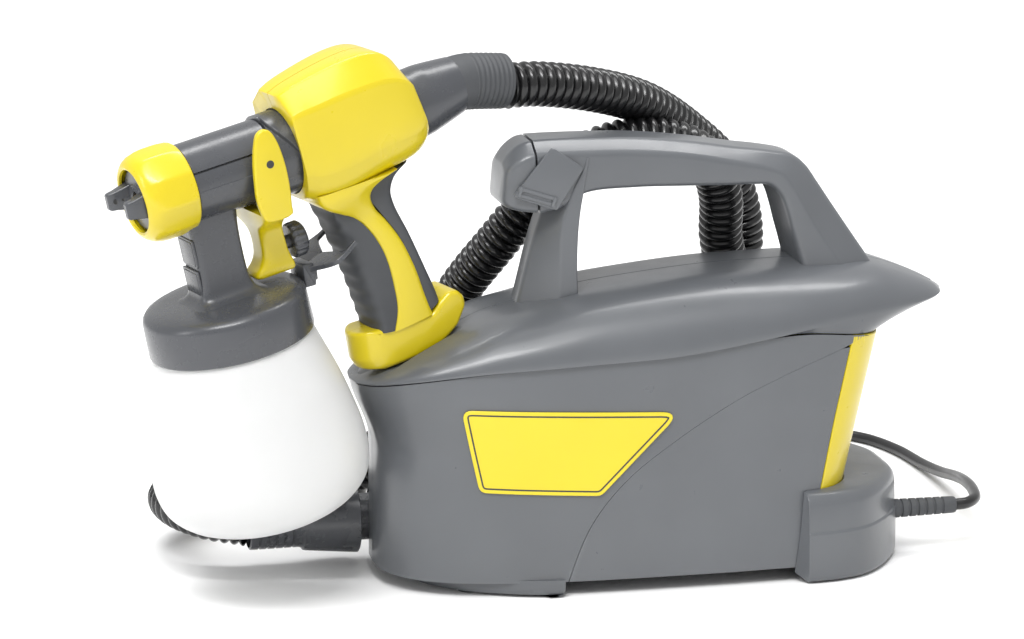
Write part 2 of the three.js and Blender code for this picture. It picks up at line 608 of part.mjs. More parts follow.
// ---------------------------------------------------------------- air hose
const HOSE_ROUTE = [
  [-83.6, 10.9, 288.4], [-67, 15.2, 288.2], [-27, 31, 280.5], [10, 51.5, 267], [45, 75, 243],
  [69, 87, 220],
  [83.5, 97, 190], [87, 106, 158], [76, 115, 130], [49, 122, 107], [29, 124.5, 80], [26, 123.5, 51],
  [41, 120.5, 27], [65, 116, 16], [92, 110.5, 17.5], [114, 105.5, 34.5], [124.5, 101.5, 64],
  [116, 97, 95],
  [96, 91, 123], [76, 82.5, 150], [64, 69, 178], [59, 54, 208], [49, 44, 230], [29, 39.5, 244],
  [2, 38.5, 248],
  [-22, 38.8, 243], [-42, 40.5, 231], [-59, 43.6, 214.5],
];
const HOSE_FLOOR = [
  [-79, 53.5, 187], [-101, 77, 148], [-118, 97, 97], [-136, 107, 54], [-164, 117.5, 23.5],
  [-198, 126, 14.4],
  [-233, 124, 17.5], [-262, 107, 26.5], [-276.5, 80, 32.5], [-273.5, 54.7, 33], [-259, 35.8, 31],
  [-238.3, OUTLET_Y, OUTLET_Z],
];
unit('air_hose', tube([...HOSE_ROUTE, ...HOSE_FLOOR], HOSE_D, 10, 70), M.black);
unit('hose_connector', outletAt(latheX([[14.5, -238], [15.8, -238], [15.8, -207], [17.6, -205],
  [21, -172.5],
  [14.5, -172.5], [14.5, -238]], 28)), M.dark);

// ---------------------------------------------------------------- mains lead
unit('strain_relief', latheX([[0, 140], [5.7, 140], [5.7, 153], [5, 186], [0, 186]],
  16).translate(0, LEAD_Y, LEAD_Z + 0.5), M.rubber);
const LEAD_FLOOR = LEAD_D / 2 + 0.1;
const COIL_LINE = COIL_AT[1] + COIL_R + 1.5 * LEAD_D;
const LEAD_ROUTE = [
  [186.3, LEAD_Y, 27.5], [193, -24.6, 27.8], [201, -17, 28], [208, 5, 27], [214, 36, 23.5],
  [220, 72, 16.5],
  [223, 106, 9.5], [223, 142, 5], [219, 184, 3.8], [207, 217, LEAD_FLOOR], [187, 235, LEAD_FLOOR],
  [160, COIL_LINE, LEAD_FLOOR], [140, COIL_LINE, LEAD_FLOOR], [125, COIL_LINE, LEAD_FLOOR],
];
unit('mains_lead', tube(LEAD_ROUTE, LEAD_D, 8, 24), M.black);
unit('lead_coil', ringZ(COIL_R - COIL_HALF, COIL_R + COIL_HALF, 0, COIL_H,
  40).translate(...COIL_AT, 0), M.black);
const PLUG_Z = 16.8;
const TAIL_ROUTE = [
  [51, COIL_LINE, 6.5], [42, COIL_LINE, 6.4], [33, COIL_LINE, 8.2], [24, COIL_LINE, 12],
  [17, COIL_LINE, 16.4], [10.7, COIL_LINE, PLUG_Z],
];
unit('lead_tail', tube(TAIL_ROUTE, LEAD_D, 8, 5), M.black);

function mainsPlug() {
  const body = latheX([[0, 10], [5.2, 10], [6.5, -8], [14, -18], [16.5, -24], [16.5, -34],
    [0, -34]], 20);
  const pins = [9.5, -9.5].map((y) => rodX(2.4, -53, -33, 12).translate(0, y, 0));
  return toGeometry(join(body, ...pins)).translate(0, COIL_LINE, PLUG_Z);
}
unit('mains_plug', mainsPlug(), M.black);
function coilTie() {
  const band = boxAt(-5, 5, -COIL_HALF - 2.4, COIL_HALF + 2.4, 0.2, COIL_H + 1.8);
  const inside = boxAt(-9, 9, -COIL_HALF - 1.1, COIL_HALF + 1.1, -3, COIL_H + 0.4);
  return toGeometry(cut(band, inside)).translate(COIL_AT[0], COIL_AT[1] - COIL_R, 0);
}
unit('coil_tie', coilTie(), M.dark);

export default product;
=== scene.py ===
"""Paint spray gun standing in the dock of its air turbine, with air hose and mains lead.

Shapes are written in millimetres in one of two local frames, and placed by a matrix taken from
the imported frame: UNIT is the turbine's own frame (X along the unit, nose at -X, Z up), GUN is
the gun's (X along the barrel, nozzle at -X, Z up the column).
"""
import json
import math

import bmesh
import bpy
import numpy as np
from mathutils import Matrix, Vector


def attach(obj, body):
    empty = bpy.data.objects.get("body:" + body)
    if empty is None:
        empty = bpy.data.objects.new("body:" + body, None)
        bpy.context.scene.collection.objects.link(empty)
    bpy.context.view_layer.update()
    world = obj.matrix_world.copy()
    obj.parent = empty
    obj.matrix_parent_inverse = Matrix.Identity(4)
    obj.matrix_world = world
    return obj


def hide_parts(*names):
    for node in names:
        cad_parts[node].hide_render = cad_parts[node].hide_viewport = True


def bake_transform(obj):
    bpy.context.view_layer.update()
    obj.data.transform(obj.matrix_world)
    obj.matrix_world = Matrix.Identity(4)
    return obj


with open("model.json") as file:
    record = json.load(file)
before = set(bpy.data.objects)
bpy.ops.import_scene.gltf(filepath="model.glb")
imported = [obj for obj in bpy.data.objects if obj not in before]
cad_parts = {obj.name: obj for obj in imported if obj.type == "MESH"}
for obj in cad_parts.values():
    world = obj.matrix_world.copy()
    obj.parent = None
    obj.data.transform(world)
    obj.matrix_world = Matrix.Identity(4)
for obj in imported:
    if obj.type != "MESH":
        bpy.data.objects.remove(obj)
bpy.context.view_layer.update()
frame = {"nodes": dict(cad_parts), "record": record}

MM = 0.001
JOINTS = {j["name"]: j for j in frame["record"]["behaviour"]["joints"]}

# ---------------------------------------------------------------- frames
MOTOR_Z = 66
PIVOT = (26, 4)                  # trigger pivot in the gun's frame, X and Z
COLUMN_X = -8.5                  # axis of column, lid and cup


def unit_frame():
    at = Vector(JOINTS["fan_spin"]["pos_m"]) - Vector((0, 0, MOTOR_Z * MM))
    return Matrix.Translation(at) @ Matrix.Scale(MM, 4)


def gun_frame():
    up = Vector(JOINTS["gun_lift"]["axis"]).normalized()
    left = -Vector(JOINTS["trigger_pull"]["axis"]).normalized()
    back = left.cross(up)
    at = Vector(JOINTS["trigger_pull"]["pos_m"]) - back * PIVOT[0] * MM - up * PIVOT[1] * MM
    turn = Matrix((back, left, up)).transposed().to_4x4()
    return Matrix.Translation(at) @ turn @ Matrix.Scale(MM, 4)


UNIT = unit_frame()
GUN = gun_frame()

# ---------------------------------------------------------------- camera, floor and light
TARGET = UNIT @ Vector((-83, 0, 151))
AZIMUTH = math.radians(-13)
ELEVATION = math.radians(13.5)
DISTANCE = 2.3
LENS = 137.5
LIGHT_AIM = (0, 0, 0.12)


def add_camera():
    level = math.cos(ELEVATION)
    back = Vector((math.sin(AZIMUTH) * level, -math.cos(AZIMUTH) * level, math.sin(ELEVATION)))
    data = bpy.data.cameras.new("camera")
    data.lens = LENS
    data.sensor_width = 36
    data.clip_end = 50
    camera = bpy.data.objects.new("camera", data)
    camera.location = TARGET + back * DISTANCE
    camera.rotation_euler = back.to_track_quat("Z", "Y").to_euler()
    bpy.context.collection.objects.link(camera)
    bpy.context.scene.camera = camera


def add_area(name, place, size, power):
    data = bpy.data.lights.new(name, "AREA")
    data.shape = "RECTANGLE"
    data.size, data.size_y = size
    data.energy = power
    light = bpy.data.objects.new(name, data)
    light.location = place
    light.rotation_euler = (Vector(place) - Vector(LIGHT_AIM)).to_track_quat("Z", "Y").to_euler()
    bpy.context.collection.objects.link(light)


def add_sun(name, place, spread_deg, power):
    data = bpy.data.lights.new(name, "SUN")
    data.angle = math.radians(spread_deg)
    data.energy = power
    light = bpy.data.objects.new(name, data)
    light.rotation_euler = Vector(place).to_track_quat("Z", "Y").to_euler()
    bpy.context.collection.objects.link(light)


def add_stage():
    bpy.ops.mesh.primitive_grid_add(x_subdivisions=4, y_subdivisions=4, size=12, location=(0, 0, 0))
    floor = bpy.context.object
    floor.name = "floor"
    material = bpy.data.materials.new("floor_white")
    material.use_nodes = True
    shader = material.node_tree.nodes["Principled BSDF"]
    shader.inputs["Base Color"].default_value = (0.92, 0.92, 0.92, 1)
    shader.inputs["Roughness"].default_value = 0.9
    shader.inputs["Specular IOR Level"].default_value = 0.1
    floor.data.materials.append(material)
    world = bpy.data.worlds.new("studio")
    world.use_nodes = True
    world.node_tree.nodes["Background"].inputs["Color"].default_value = (1, 1, 1, 1)
    world.node_tree.nodes["Background"].inputs["Strength"].default_value = 0.72
    bpy.context.scene.world = world
    bpy.context.scene.view_settings.view_transform = "Standard"
    add_sun("daylight", (-0.5, -0.9, 1.8), 40, 1.3)
    add_area("key", (-0.7, -1.3, 2.1), (1.3, 0.5), 26)
    add_area("side", (-2.2, -0.6, 0.9), (0.5, 1.0), 7)
    add_area("top", (0.2, 0.6, 2.2), (2.2, 0.4), 30)


add_camera()
add_stage()


# ---------------------------------------------------------------- curves and numbers
def catmull(points, per_span, closed=False):
    """A centripetal Catmull-Rom curve through the points, per_span samples to each span."""
    p = np.array(points, float)
    if closed:
        p = np.vstack([p[-1], p, p[0], p[1]])
    else:
        p = np.vstack([2 * p[0] - p[1], p, 2 * p[-1] - p[-2]])
    out = []
    for i in range(1, len(p) - 2):
        a, b, c, d = p[i - 1:i + 3]
        t0 = max(np.linalg.norm(b - a) ** 0.5, 1e-6)
        t1 = max(np.linalg.norm(c - b) ** 0.5, 1e-6)
        t2 = max(np.linalg.norm(d - c) ** 0.5, 1e-6)
        m1 = t1 * ((b - a) / t0 - (c - a) / (t0 + t1) + (c - b) / t1)
        m2 = t1 * ((c - b) / t1 - (d - b) / (t1 + t2) + (d - c) / t2)
        for u in np.linspace(0, 1, per_span, endpoint=False):
            h = 2 * u**3 - 3 * u**2 + 1, u**3 - 2 * u**2 + u, 3 * u**2 - 2 * u**3, u**3 - u**2
            out.append(h[0] * b + h[1] * m1 + h[2] * c + h[3] * m2)
    if not closed:
        out.append(p[-2])
    return np.array(out)


def spaced(points, count, closed=False):
    """The polyline resampled to count points at even distances."""
    p = np.array(points, float)
    if closed:
        p = np.vstack([p, p[:1]])
    along = np.concatenate([[0], np.cumsum(np.linalg.norm(np.diff(p, axis=0), axis=1))])
    t = np.linspace(0, along[-1], count, endpoint=not closed)
    return np.stack([np.interp(t, along, p[:, k]) for k in range(p.shape[1])], axis=1)


def length_of(points):
    return float(np.linalg.norm(np.diff(np.array(points, float), axis=0), axis=1).sum())


def smoothstep(lo, hi, t):
    u = np.clip((t - lo) / (hi - lo), 0, 1)
    return u * u * (3 - 2 * u)


def rounded(points, radius, steps=5):
    """A closed polygon with its corners rounded; radius is one number or one for each corner."""
    p = np.array(points, float)
    n = len(p)
    radii = radius if hasattr(radius, "__len__") else [radius] * n
    out = []
    for i in range(n):
        a, b, c = p[i - 1], p[i], p[(i + 1) % n]
        before, after = np.linalg.norm(a - b), np.linalg.norm(c - b)
        u, v = (a - b) / before, (c - b) / after
        half = math.acos(max(-1, min(1, float(u @ v)))) / 2
        reach = min(radii[i] / max(math.tan(half), 1e-3), 0.49 * before, 0.49 * after)
        if reach < 0.05:
            out.append(b)
            continue
        for t in np.linspace(0, 1, steps + 1):
            out.append((1 - t) ** 2 * (b + u * reach) + 2 * t * (1 - t) * b + t * t * (b + v * reach))
    return np.array(out)


def outward(points):
    """Unit normals of a closed plane outline, pointing out."""
    p = np.array(points, float)
    d = np.roll(p, -1, axis=0) - np.roll(p, 1, axis=0)
    n = np.stack([d[:, 1], -d[:, 0]], axis=1)
    n /= np.maximum(np.linalg.norm(n, axis=1, keepdims=True), 1e-9)
    area = np.sum(p[:, 0] * np.roll(p[:, 1], -1) - np.roll(p[:, 0], -1) * p[:, 1])
    return n if area > 0 else -n


def inset(points, d):
    return np.array(points, float) - outward(points) * d


def oblong(x0, x1, half, radius, steps):
    """A rounded rectangle from x0 to x1, half as deep on either side of the middle."""
    return rounded([(x0, -half), (x1, -half), (x1, half), (x0, half)], radius, steps)


def around(count):
    return np.linspace(0, 2 * math.pi, count, endpoint=False)


# ---------------------------------------------------------------- meshes
class Build:
    """Collects vertices and faces in a local frame, in millimetres, for one piece."""

    def __init__(self):
        self.verts = []
        self.faces = []

    def add(self, verts, faces):
        start = len(self.verts)
        self.verts.extend([tuple(map(float, v)) for v in verts])
        self.faces.extend([tuple(start + i for i in f) for f in faces])
        return self

    def join(self, other):
        return self.add(other.verts, other.faces)

    def rings(self, rings, close=True, caps=(True, True)):
        """Quads between loops of equal length, with an end face at either end where asked."""
        n = len(rings[0])
        verts = [v for ring in rings for v in ring]
        faces = []
        span = n if close else n - 1
        for i in range(len(rings) - 1):
            for j in range(span):
                a, b = i * n + j, i * n + (j + 1) % n
                faces.append((a, b, b + n, a + n))
        if caps[0]:
            faces.append(tuple(reversed(range(n))))
        if caps[1]:
            faces.append(tuple((len(rings) - 1) * n + j for j in range(n)))
        return self.add(verts, faces)

    def lathe(self, profile, sides=64, axis="x", at=(0, 0, 0), caps=(True, True)):
        """Turned solid: profile is [(radius, distance along the axis)] from one end to the other."""
        angles = around(sides)
        rings = []
        for r, t in profile:
            c, s = r * np.cos(angles), r * np.sin(angles)
            k = np.full(sides, float(t))
            ring = {"x": (k, c, s), "y": (s, k, c), "z": (c, s, k)}[axis]
            rings.append(np.stack(ring, axis=1) + np.array(at, float))
        return self.rings(rings, caps=caps)

    def prism(self, outline, y0, y1, edge=1.0, steps=4):
        """An outline pulled from y0 to y1 with its edges rounded by edge."""
        p = np.array(outline, float)
        turns = np.linspace(0, math.pi / 2, steps + 1)
        levels = [(edge * (1 - math.sin(t)), y0 + edge * (1 - math.cos(t))) for t in turns]
        levels += [(edge * (1 - math.sin(t)), y1 - edge * (1 - math.cos(t))) for t in turns[::-1]]
        rings = []
        for d, y in levels:
            q = inset(p, d) if d > 1e-6 else p
            rings.append([(a, y, b) for a, b in q])
        return self.rings(rings)

    def swept(self, path, radius, sides=16):
        """A round tube along a path; radius is a number or one for each point."""
        p = np.array(path, float)
        radii = np.broadcast_to(np.array(radius, float), (len(p),))
        tangent = np.gradient(p, axis=0)
        tangent /= np.linalg.norm(tangent, axis=1, keepdims=True)
        side = np.cross(tangent[0], (0.3, 0.1, 1.0))
        angles = around(sides)
        rings = []
        for at, t, r in zip(p, tangent, radii):
            side = side - t * (side @ t)
            side /= np.linalg.norm(side)
            other = np.cross(t, side)
            rings.append(at + r * (np.outer(np.cos(angles), side) + np.outer(np.sin(angles), other)))
        return self.rings(rings)

    def moved(self, change):
        self.verts = [tuple(change(*v)) for v in self.verts]
        return self

    def rolled(self, turn, y0=0, z0=0):
        """Turned about the X axis, then shifted."""
        c, s = math.cos(turn), math.sin(turn)
        return self.moved(lambda x, y, z: (x, y0 + y * c + z * s, z0 - y * s + z * c))


def soften(made, width, segments=3, angle=35):
    """Rounds the piece's sharp edges."""
    bevel = made.modifiers.new("edges", "BEVEL")
    bevel.width = width * MM
    bevel.segments = segments
    bevel.limit_method = "ANGLE"
    bevel.angle_limit = math.radians(angle)
    bevel.harden_normals = True


def piece(name, build, place, material, body, replaces=(), flat=30):
    """Makes the object, places it, hangs it on its body and hides the CAD nodes it replaces."""
    mesh = bpy.data.meshes.new(name)
    mesh.from_pydata([place @ Vector(v) for v in build.verts], [], build.faces)
    mesh.validate()
    work = bmesh.new()
    work.from_mesh(mesh)
    bmesh.ops.remove_doubles(work, verts=work.verts, dist=2e-6)
    bmesh.ops.recalc_face_normals(work, faces=work.faces)
    limit = math.radians(flat)
    for face in work.faces:
        face.smooth = True
    for edge in work.edges:
        edge.smooth = len(edge.link_faces) < 2 or edge.calc_face_angle(0) < limit
    work.to_mesh(mesh)
    work.free()
    mesh.materials.append(material)
    made = bpy.data.objects.new(name, mesh)
    bpy.context.collection.objects.link(made)
    if body:
        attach(made, body)
    if replaces:
        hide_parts(*replaces)
    return made


def on_unit(name, build, slot, replaces=(), flat=30, body="base", look=None):
    """A piece in the turbine's frame; look is the material where it isn't the slot's own."""
    return piece(name, build, UNIT, M[look or slot], body, replaces, flat)


def on_gun(name, build, slot, replaces=(), flat=30, body="gun", look=None):
    return piece(name, build, GUN, M[look or slot], body, replaces, flat)


# ---------------------------------------------------------------- materials
def material_nodes(name):
    material = bpy.data.materials.new(name)
    material.use_nodes = True
    tree = material.node_tree
    return material, tree, tree.nodes["Principled BSDF"]


def noise(tree, scale, detail, rough=0.5):
    place = tree.nodes.new("ShaderNodeTexCoord")
    node = tree.nodes.new("ShaderNodeTexNoise")
    node.inputs["Scale"].default_value = scale
    node.inputs["Detail"].default_value = detail
    node.inputs["Roughness"].default_value = rough
    tree.links.new(place.outputs["Object"], node.inputs["Vector"])
    return node.outputs["Fac"]


def spread(tree, value, lo, hi, start=0.3, end=0.7):
    node = tree.nodes.new("ShaderNodeMapRange")
    node.inputs["From Min"].default_value = start
    node.inputs["From Max"].default_value = end
    node.inputs["To Min"].default_value = lo
    node.inputs["To Max"].default_value = hi
    tree.links.new(value, node.inputs["Value"])
    return node.outputs["Result"]


def mixed(tree, fac, a, b):
    node = tree.nodes.new("ShaderNodeMix")
    node.data_type = "RGBA"
    for socket, value in ((node.inputs["A"], a), (node.inputs["B"], b)):
        if hasattr(value, "is_output"):
            tree.links.new(value, socket)
        else:
            socket.default_value = (*value, 1)
    tree.links.new(fac, node.inputs["Factor"])
    return node.outputs["Result"]


def moulded(name, colour, rough, grain=2400.0, depth=0.12, vary=0.06, wear=0.25, coat=0.0, metal=0.0):
    """Moulded plastic, rubber or metal: cloudy colour, fine grain, uneven gloss and edges rubbed paler."""
    material, tree, shader = material_nodes(name)
    dark = tuple(c * (1 - vary) for c in colour)
    light = tuple(min(1, c * (1 + vary)) for c in colour)
    cloud = noise(tree, 16, 4)
    base = mixed(tree, spread(tree, cloud, 0, 1), dark, light)
    rubbed = tuple(min(1, c * 1.35 + 0.02) for c in colour)
    point = tree.nodes.new("ShaderNodeNewGeometry").outputs["Pointiness"]
    edge = spread(tree, point, 0, wear, 0.515, 0.58)
    base = mixed(tree, edge, base, rubbed)
    tree.links.new(base, shader.inputs["Base Color"])
    patch = noise(tree, 55, 5, 0.6)
    tree.links.new(spread(tree, patch, rough * 0.88, min(1, rough * 1.14)), shader.inputs["Roughness"])
    fine = noise(tree, grain, 2)
    bump = tree.nodes.new("ShaderNodeBump")
    bump.inputs["Strength"].default_value = depth
    bump.inputs["Distance"].default_value = 0.00025
    tree.links.new(fine, bump.inputs["Height"])
    tree.links.new(bump.outputs["Normal"], shader.inputs["Normal"])
    shader.inputs["Metallic"].default_value = metal
    shader.inputs["Coat Weight"].default_value = coat
    shader.inputs["Coat Roughness"].default_value = 0.12
    return material


def milky(name):
    """Translucent natural plastic."""
    material = moulded(name, (0.74, 0.745, 0.73), 0.38, grain=900, depth=0.05, vary=0.015, wear=0.1)
    shader = material.node_tree.nodes["Principled BSDF"]
    shader.inputs["Subsurface Weight"].default_value = 0.6
    shader.inputs["Subsurface Radius"].default_value = (1.0, 1.0, 0.95)
    shader.inputs["Subsurface Scale"].default_value = 0.012
    return material


# keyed by material slot, plus a near-black used for printed marks and for painted shade in holes
M = {
    "housing": moulded("housing_grey", (0.098, 0.104, 0.113), 0.31, coat=0.2),
    "dark_plastic": moulded("dark_grey", (0.055, 0.058, 0.065), 0.27, coat=0.1),
    "yellow_plastic": moulded(
        "yellow_gloss", (0.6, 0.475, 0.004), 0.3, depth=0.05, vary=0.03, wear=0.1, coat=0.3,
    ),
    "label": moulded("label_yellow", (0.66, 0.53, 0.012), 0.35, depth=0.04, vary=0.03, wear=0.1, coat=0.2),
    # near-black: the colour of printed lines and marks, and also painted shade standing in for the dark
    # inside of holes
    "ink_and_hole_shade": moulded("label_ink_and_hole_shade", (0.03, 0.03, 0.03), 0.5, vary=0.1),
    "rubber": moulded("soft_rubber", (0.05, 0.053, 0.058), 0.62, grain=1500, depth=0.22, vary=0.1),
    "hose": moulded("hose_black", (0.005, 0.005, 0.0055), 0.24, depth=0.04, vary=0.1, wear=0.1, coat=0.1),
    "lead": moulded("lead_black", (0.009, 0.009, 0.0095), 0.3, depth=0.08, vary=0.1, wear=0.1),
    "cup_plastic": milky("cup_milky"),
    "steel": moulded("bright_steel", (0.6, 0.6, 0.6), 0.25, metal=1.0, vary=0.05),
    "brass": moulded("turned_brass", (0.75, 0.55, 0.25), 0.28, metal=1.0, vary=0.05),
    "white_plastic": moulded("natural_white", (0.72, 0.72, 0.7), 0.5, vary=0.03),
    "foam": moulded("filter_foam", (0.02, 0.02, 0.021), 0.95, grain=700, depth=0.9, vary=0.3),
}

# ---------------------------------------------------------------- air hose
HOSE_D = 27
HOSE_PITCH = 5.9
RIB_HEIGHT = 2.5
OUTLET_Y = 27
OUTLET_Z = 28.5
HOSE_ROUTE = [
    [-83.6, 10.9, 288.4], [-67, 15.2, 288.2], [-27, 31, 280.5], [10, 51.5, 267], [45, 75, 243],
    [69, 87, 220], [83.5, 97, 190], [87, 106, 158], [76, 115, 130], [49, 122, 107], [29, 124.5, 80],
    [26, 123.5, 51], [41, 120.5, 27], [65, 116, 16], [92, 110.5, 17.5], [114, 105.5, 34.5],
    [124.5, 101.5, 64], [116, 97, 95], [96, 91, 123], [76, 82.5, 150], [64, 69, 178], [59, 54, 208],
    [49, 44, 230], [29, 39.5, 244], [2, 38.5, 248], [-22, 38.8, 243], [-42, 40.5, 231],
    [-59, 43.6, 214.5], [-79, 53.5, 187], [-101, 77, 148], [-118, 97, 97], [-136, 107, 54],
    [-164, 117.5, 23.5], [-198, 126, 14.4], [-233, 124, 17.5], [-262, 107, 26.5], [-276.5, 80, 32.5],
    [-273.5, 54.7, 33], [-259, 35.8, 31], [-238.3, OUTLET_Y, OUTLET_Z],
]


def air_hose():
    line = catmull(HOSE_ROUTE, 24)
    length = length_of(line)
    ribs = round(length / HOSE_PITCH)
    rows = 8
    path = spaced(line, ribs * rows + 1)
    phase = np.arange(ribs * rows + 1) / rows * 2 * math.pi
    wave = np.abs(np.cos(phase / 2)) ** 0.75
    radius = HOSE_D / 2 - RIB_HEIGHT + RIB_HEIGHT * wave
    shape = Build().swept(path, radius, 36)
    made = piece("hose_corrugated", shape, UNIT, M["hose"], None, ["air_hose"])
    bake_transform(made)


air_hose()

# ---------------------------------------------------------------- mains lead
LEAD_D = 7
LEAD_Y = -25
LEAD_Z = 27.5
COIL_AT = (88, 192)
COIL_R = 38.5                    # middle of the coil's turns
COIL_LINE = COIL_AT[1] + COIL_R + 1.5 * LEAD_D
LEAD_FLOOR = LEAD_D / 2 + 0.1
PLUG_Z = 16.8
LEAD_ROUTE = [
    [186.3, LEAD_Y, LEAD_Z], [193, -24.6, 27.8], [201, -17, 28], [208, 5, 27], [214, 36, 23.5],
    [220, 72, 16.5], [223, 106, 9.5], [223, 142, 5], [219, 184, 3.8], [207, 217, LEAD_FLOOR],
    [187, 235, LEAD_FLOOR], [160, COIL_LINE, LEAD_FLOOR], [140, COIL_LINE, LEAD_FLOOR],
    [125, COIL_LINE, LEAD_FLOOR],
]
TAIL_ROUTE = [
    [66, COIL_LINE, 8.6], [51, COIL_LINE, 6.5], [42, COIL_LINE, 6.4], [33, COIL_LINE, 8.2],
    [24, COIL_LINE, 12], [16, COIL_LINE, 15.8], [10.5, COIL_LINE, PLUG_Z],
]


def coil_turns():
    """Four turns wound inwards on the floor and four outwards on top of them."""
    radii = [COIL_R + (1.5 - k) * LEAD_D for k in range(4)]
    turns = [(r, LEAD_FLOOR) for r in radii] + [(r, LEAD_FLOOR + LEAD_D) for r in reversed(radii)]
    points = []
    per_turn = 24
    for k, (r, z) in enumerate(turns):
        follow_r, follow_z = turns[min(k + 1, len(turns) - 1)]
        for i in range(per_turn):
            change = smoothstep(0.7, 1, i / per_turn)
            angle = math.pi / 2 + 2 * math.pi * i / per_turn
            at_r = r + (follow_r - r) * change
            at_z = z + (follow_z - z) * change
            points.append([COIL_AT[0] + at_r * math.cos(angle), COIL_AT[1] + at_r * math.sin(angle), at_z])
    points.append([COIL_AT[0], COIL_LINE, LEAD_FLOOR + LEAD_D])
    return points


def mains_lead():
    line = catmull(LEAD_ROUTE + coil_turns() + TAIL_ROUTE, 6)
    made = piece(
        "lead_sheath", Build().swept(line, LEAD_D / 2, 18), UNIT, M["lead"], "base",
        ["mains_lead", "lead_coil", "lead_tail"],
    )


mains_lead()

# ---------------------------------------------------------------- turbine unit: shared surfaces
SEAM_GAP = 0.35                  # half the gap between neighbouring panels
WALL = 2.6
BODY_BOTTOM = 9
BODY_HALF = catmull([
    (-168, 0), (-166, 18), (-155, 36), (-134, 49), (-104, 57), (-60, 62), (0, 64), (60, 64), (96, 61),
    (112, 47), (119, 24), (120, 0),
], 24)
HULL_HALF = catmull([
    (-181, 0), (-178.5, 16), (-168, 32), (-147, 46), (-120, 54.5), (-88, 60), (-30, 63), (40, 63.5),
    (92, 60), (130, 50), (158, 35), (175, 18), (181, 0),
], 24)
CREASE = catmull([
    (-184, 120), (-150, 127), (-110, 132.5), (-60, 135.5), (0, 138.5), (50, 145), (110, 154),
    (184, 157),
], 12)
DECK = catmull([
    (-184, 121), (-176, 127), (-150, 139), (-120, 151), (-104, 157.5), (-81, 163), (-50, 170), (0, 176),
    (40, 179), (65, 179.5), (105, 180), (135, 178.5), (151, 174), (165, 169), (175, 164.6),
    (181, 161.4), (184, 160),
], 12)
SEAM = catmull([
    (-71, -8), (-69, -3), (-52, 39), (-30, 66), (1, 89), (38, 111), (65, 123), (104, 138), (140, 150),
], 16)
BAND_LINE = [(77, -10), (84, 30), (88, 52), (97, 95), (107, 138), (114, 172)]
SIDE_FLARE = catmull([(0, 1.11), (40, 1.05), (80, 1), (130, 0.96), (170, 0.93)], 12)


def along(table, t):
    table = np.array(table)
    return np.interp(t, table[:, 0], table[:, 1])


def plan_scale(x0, z):
    return 1 + 0.07 * smoothstep(82, 122, z) if x0 < 0 else 1 + 0.24 * (z - 80) / 120


def body_normals():
    d = np.gradient(BODY_HALF, axis=0)
    n = np.stack([-d[:, 1], d[:, 0]], axis=1)
    return n / np.linalg.norm(n, axis=1, keepdims=True)


BODY_NORMALS = body_normals()
BODY_ALONG = np.concatenate([[0], np.cumsum(np.linalg.norm(np.diff(BODY_HALF, axis=0), axis=1))])
HALF_GIRTH = BODY_ALONG[-1]


def on_body(girth, z, out=0.0):
    """A point of the lower body's surface. girth runs from the nose, towards +Y where positive."""
    g = min(abs(girth), HALF_GIRTH)
    x0 = np.interp(g, BODY_ALONG, BODY_HALF[:, 0])
    y0 = np.interp(g, BODY_ALONG, BODY_HALF[:, 1])
    nx = np.interp(g, BODY_ALONG, BODY_NORMALS[:, 0])
    ny = np.interp(g, BODY_ALONG, BODY_NORMALS[:, 1])
    x = x0 * plan_scale(x0, z) + nx * out
    y = y0 * along(SIDE_FLARE, z) + ny * out
    return np.array([x, y if girth >= 0 else -y, z])


def girth_at(x, z):
    """The girth at which the body's side has this X."""
    x0 = x / plan_scale(x, z)
    return float(np.interp(x0, BODY_HALF[:, 0], BODY_ALONG))


def underside(x):
    """Height at which the hull's underside meets the lower body."""
    return along(CREASE, x) - 15 * smoothstep(55, 150, x)


def settle(girth, line, start):
    """The height at which a column of the body meets a line given as a function of X."""
    z = start
    for _ in range(6):
        z = float(line(on_body(girth, z)[0]))
    return z


def solid_grid(rows):
    """A closed panel: the rows of outer points and their copies one wall further in."""
    p = np.array(rows, float)
    du = np.gradient(p, axis=1)
    dv = np.gradient(p, axis=0)
    n = np.cross(du, dv)
    n /= np.maximum(np.linalg.norm(n, axis=2, keepdims=True), 1e-9)
    middle = p.reshape(-1, 3).mean(axis=0)
    if np.sum((p - middle) * n * np.array([1, 1, 0.2])) < 0:
        n = -n
    back = p - n * WALL
    m, k = p.shape[:2]
    verts = list(p.reshape(-1, 3)) + list(back.reshape(-1, 3))
    faces = []
    for i in range(m - 1):
        for j in range(k - 1):
            a = i * k + j
            faces.append((a, a + 1, a + k + 1, a + k))
            b = a + m * k
            faces.append((b + k, b + k + 1, b + 1, b))
    rim = [(0, j) for j in range(k)] + [(i, k - 1) for i in range(1, m)]
    rim += [(m - 1, j) for j in range(k - 2, -1, -1)] + [(i, 0) for i in range(m - 2, 0, -1)]
    for (i, j), (u, v) in zip(rim, rim[1:] + rim[:1]):
        a, b = i * k + j, u * k + v
        faces.append((b, a, a + m * k, b + m * k))
    return Build().add(verts, faces)


# ---------------------------------------------------------------- turbine unit: lower body
def shell_rows(girths, low, high, rows):
    """Columns of points up the body between two lines; returned row by row."""
    columns = []
    for g in girths:
        z0, z1 = low(g), high(g)
        columns.append([on_body(g, z) for z in np.linspace(z0, z1, rows)])
    return [list(row) for row in zip(*columns)]


def front_shell():
    start = girth_at(-69, BODY_BOTTOM)
    middle = girth_at(-20, 70)
    end = girth_at(118, 142)

    def top(g):
        return settle(g, lambda x: underside(x) - SEAM_GAP, 130)

    def bottom(g):
        if abs(g) <= start:
            return BODY_BOTTOM
        return max(BODY_BOTTOM, settle(g, lambda x: along(SEAM, x) + SEAM_GAP, 60))

    parts = [(0, start, 60), (start, middle, 50), (middle, end, 60)]
    reach = np.concatenate([[0], *(np.linspace(*part)[1:] for part in parts)])
    girths = np.concatenate([-reach[::-1], reach[1:]])
    return solid_grid(shell_rows(girths, bottom, top, 44))


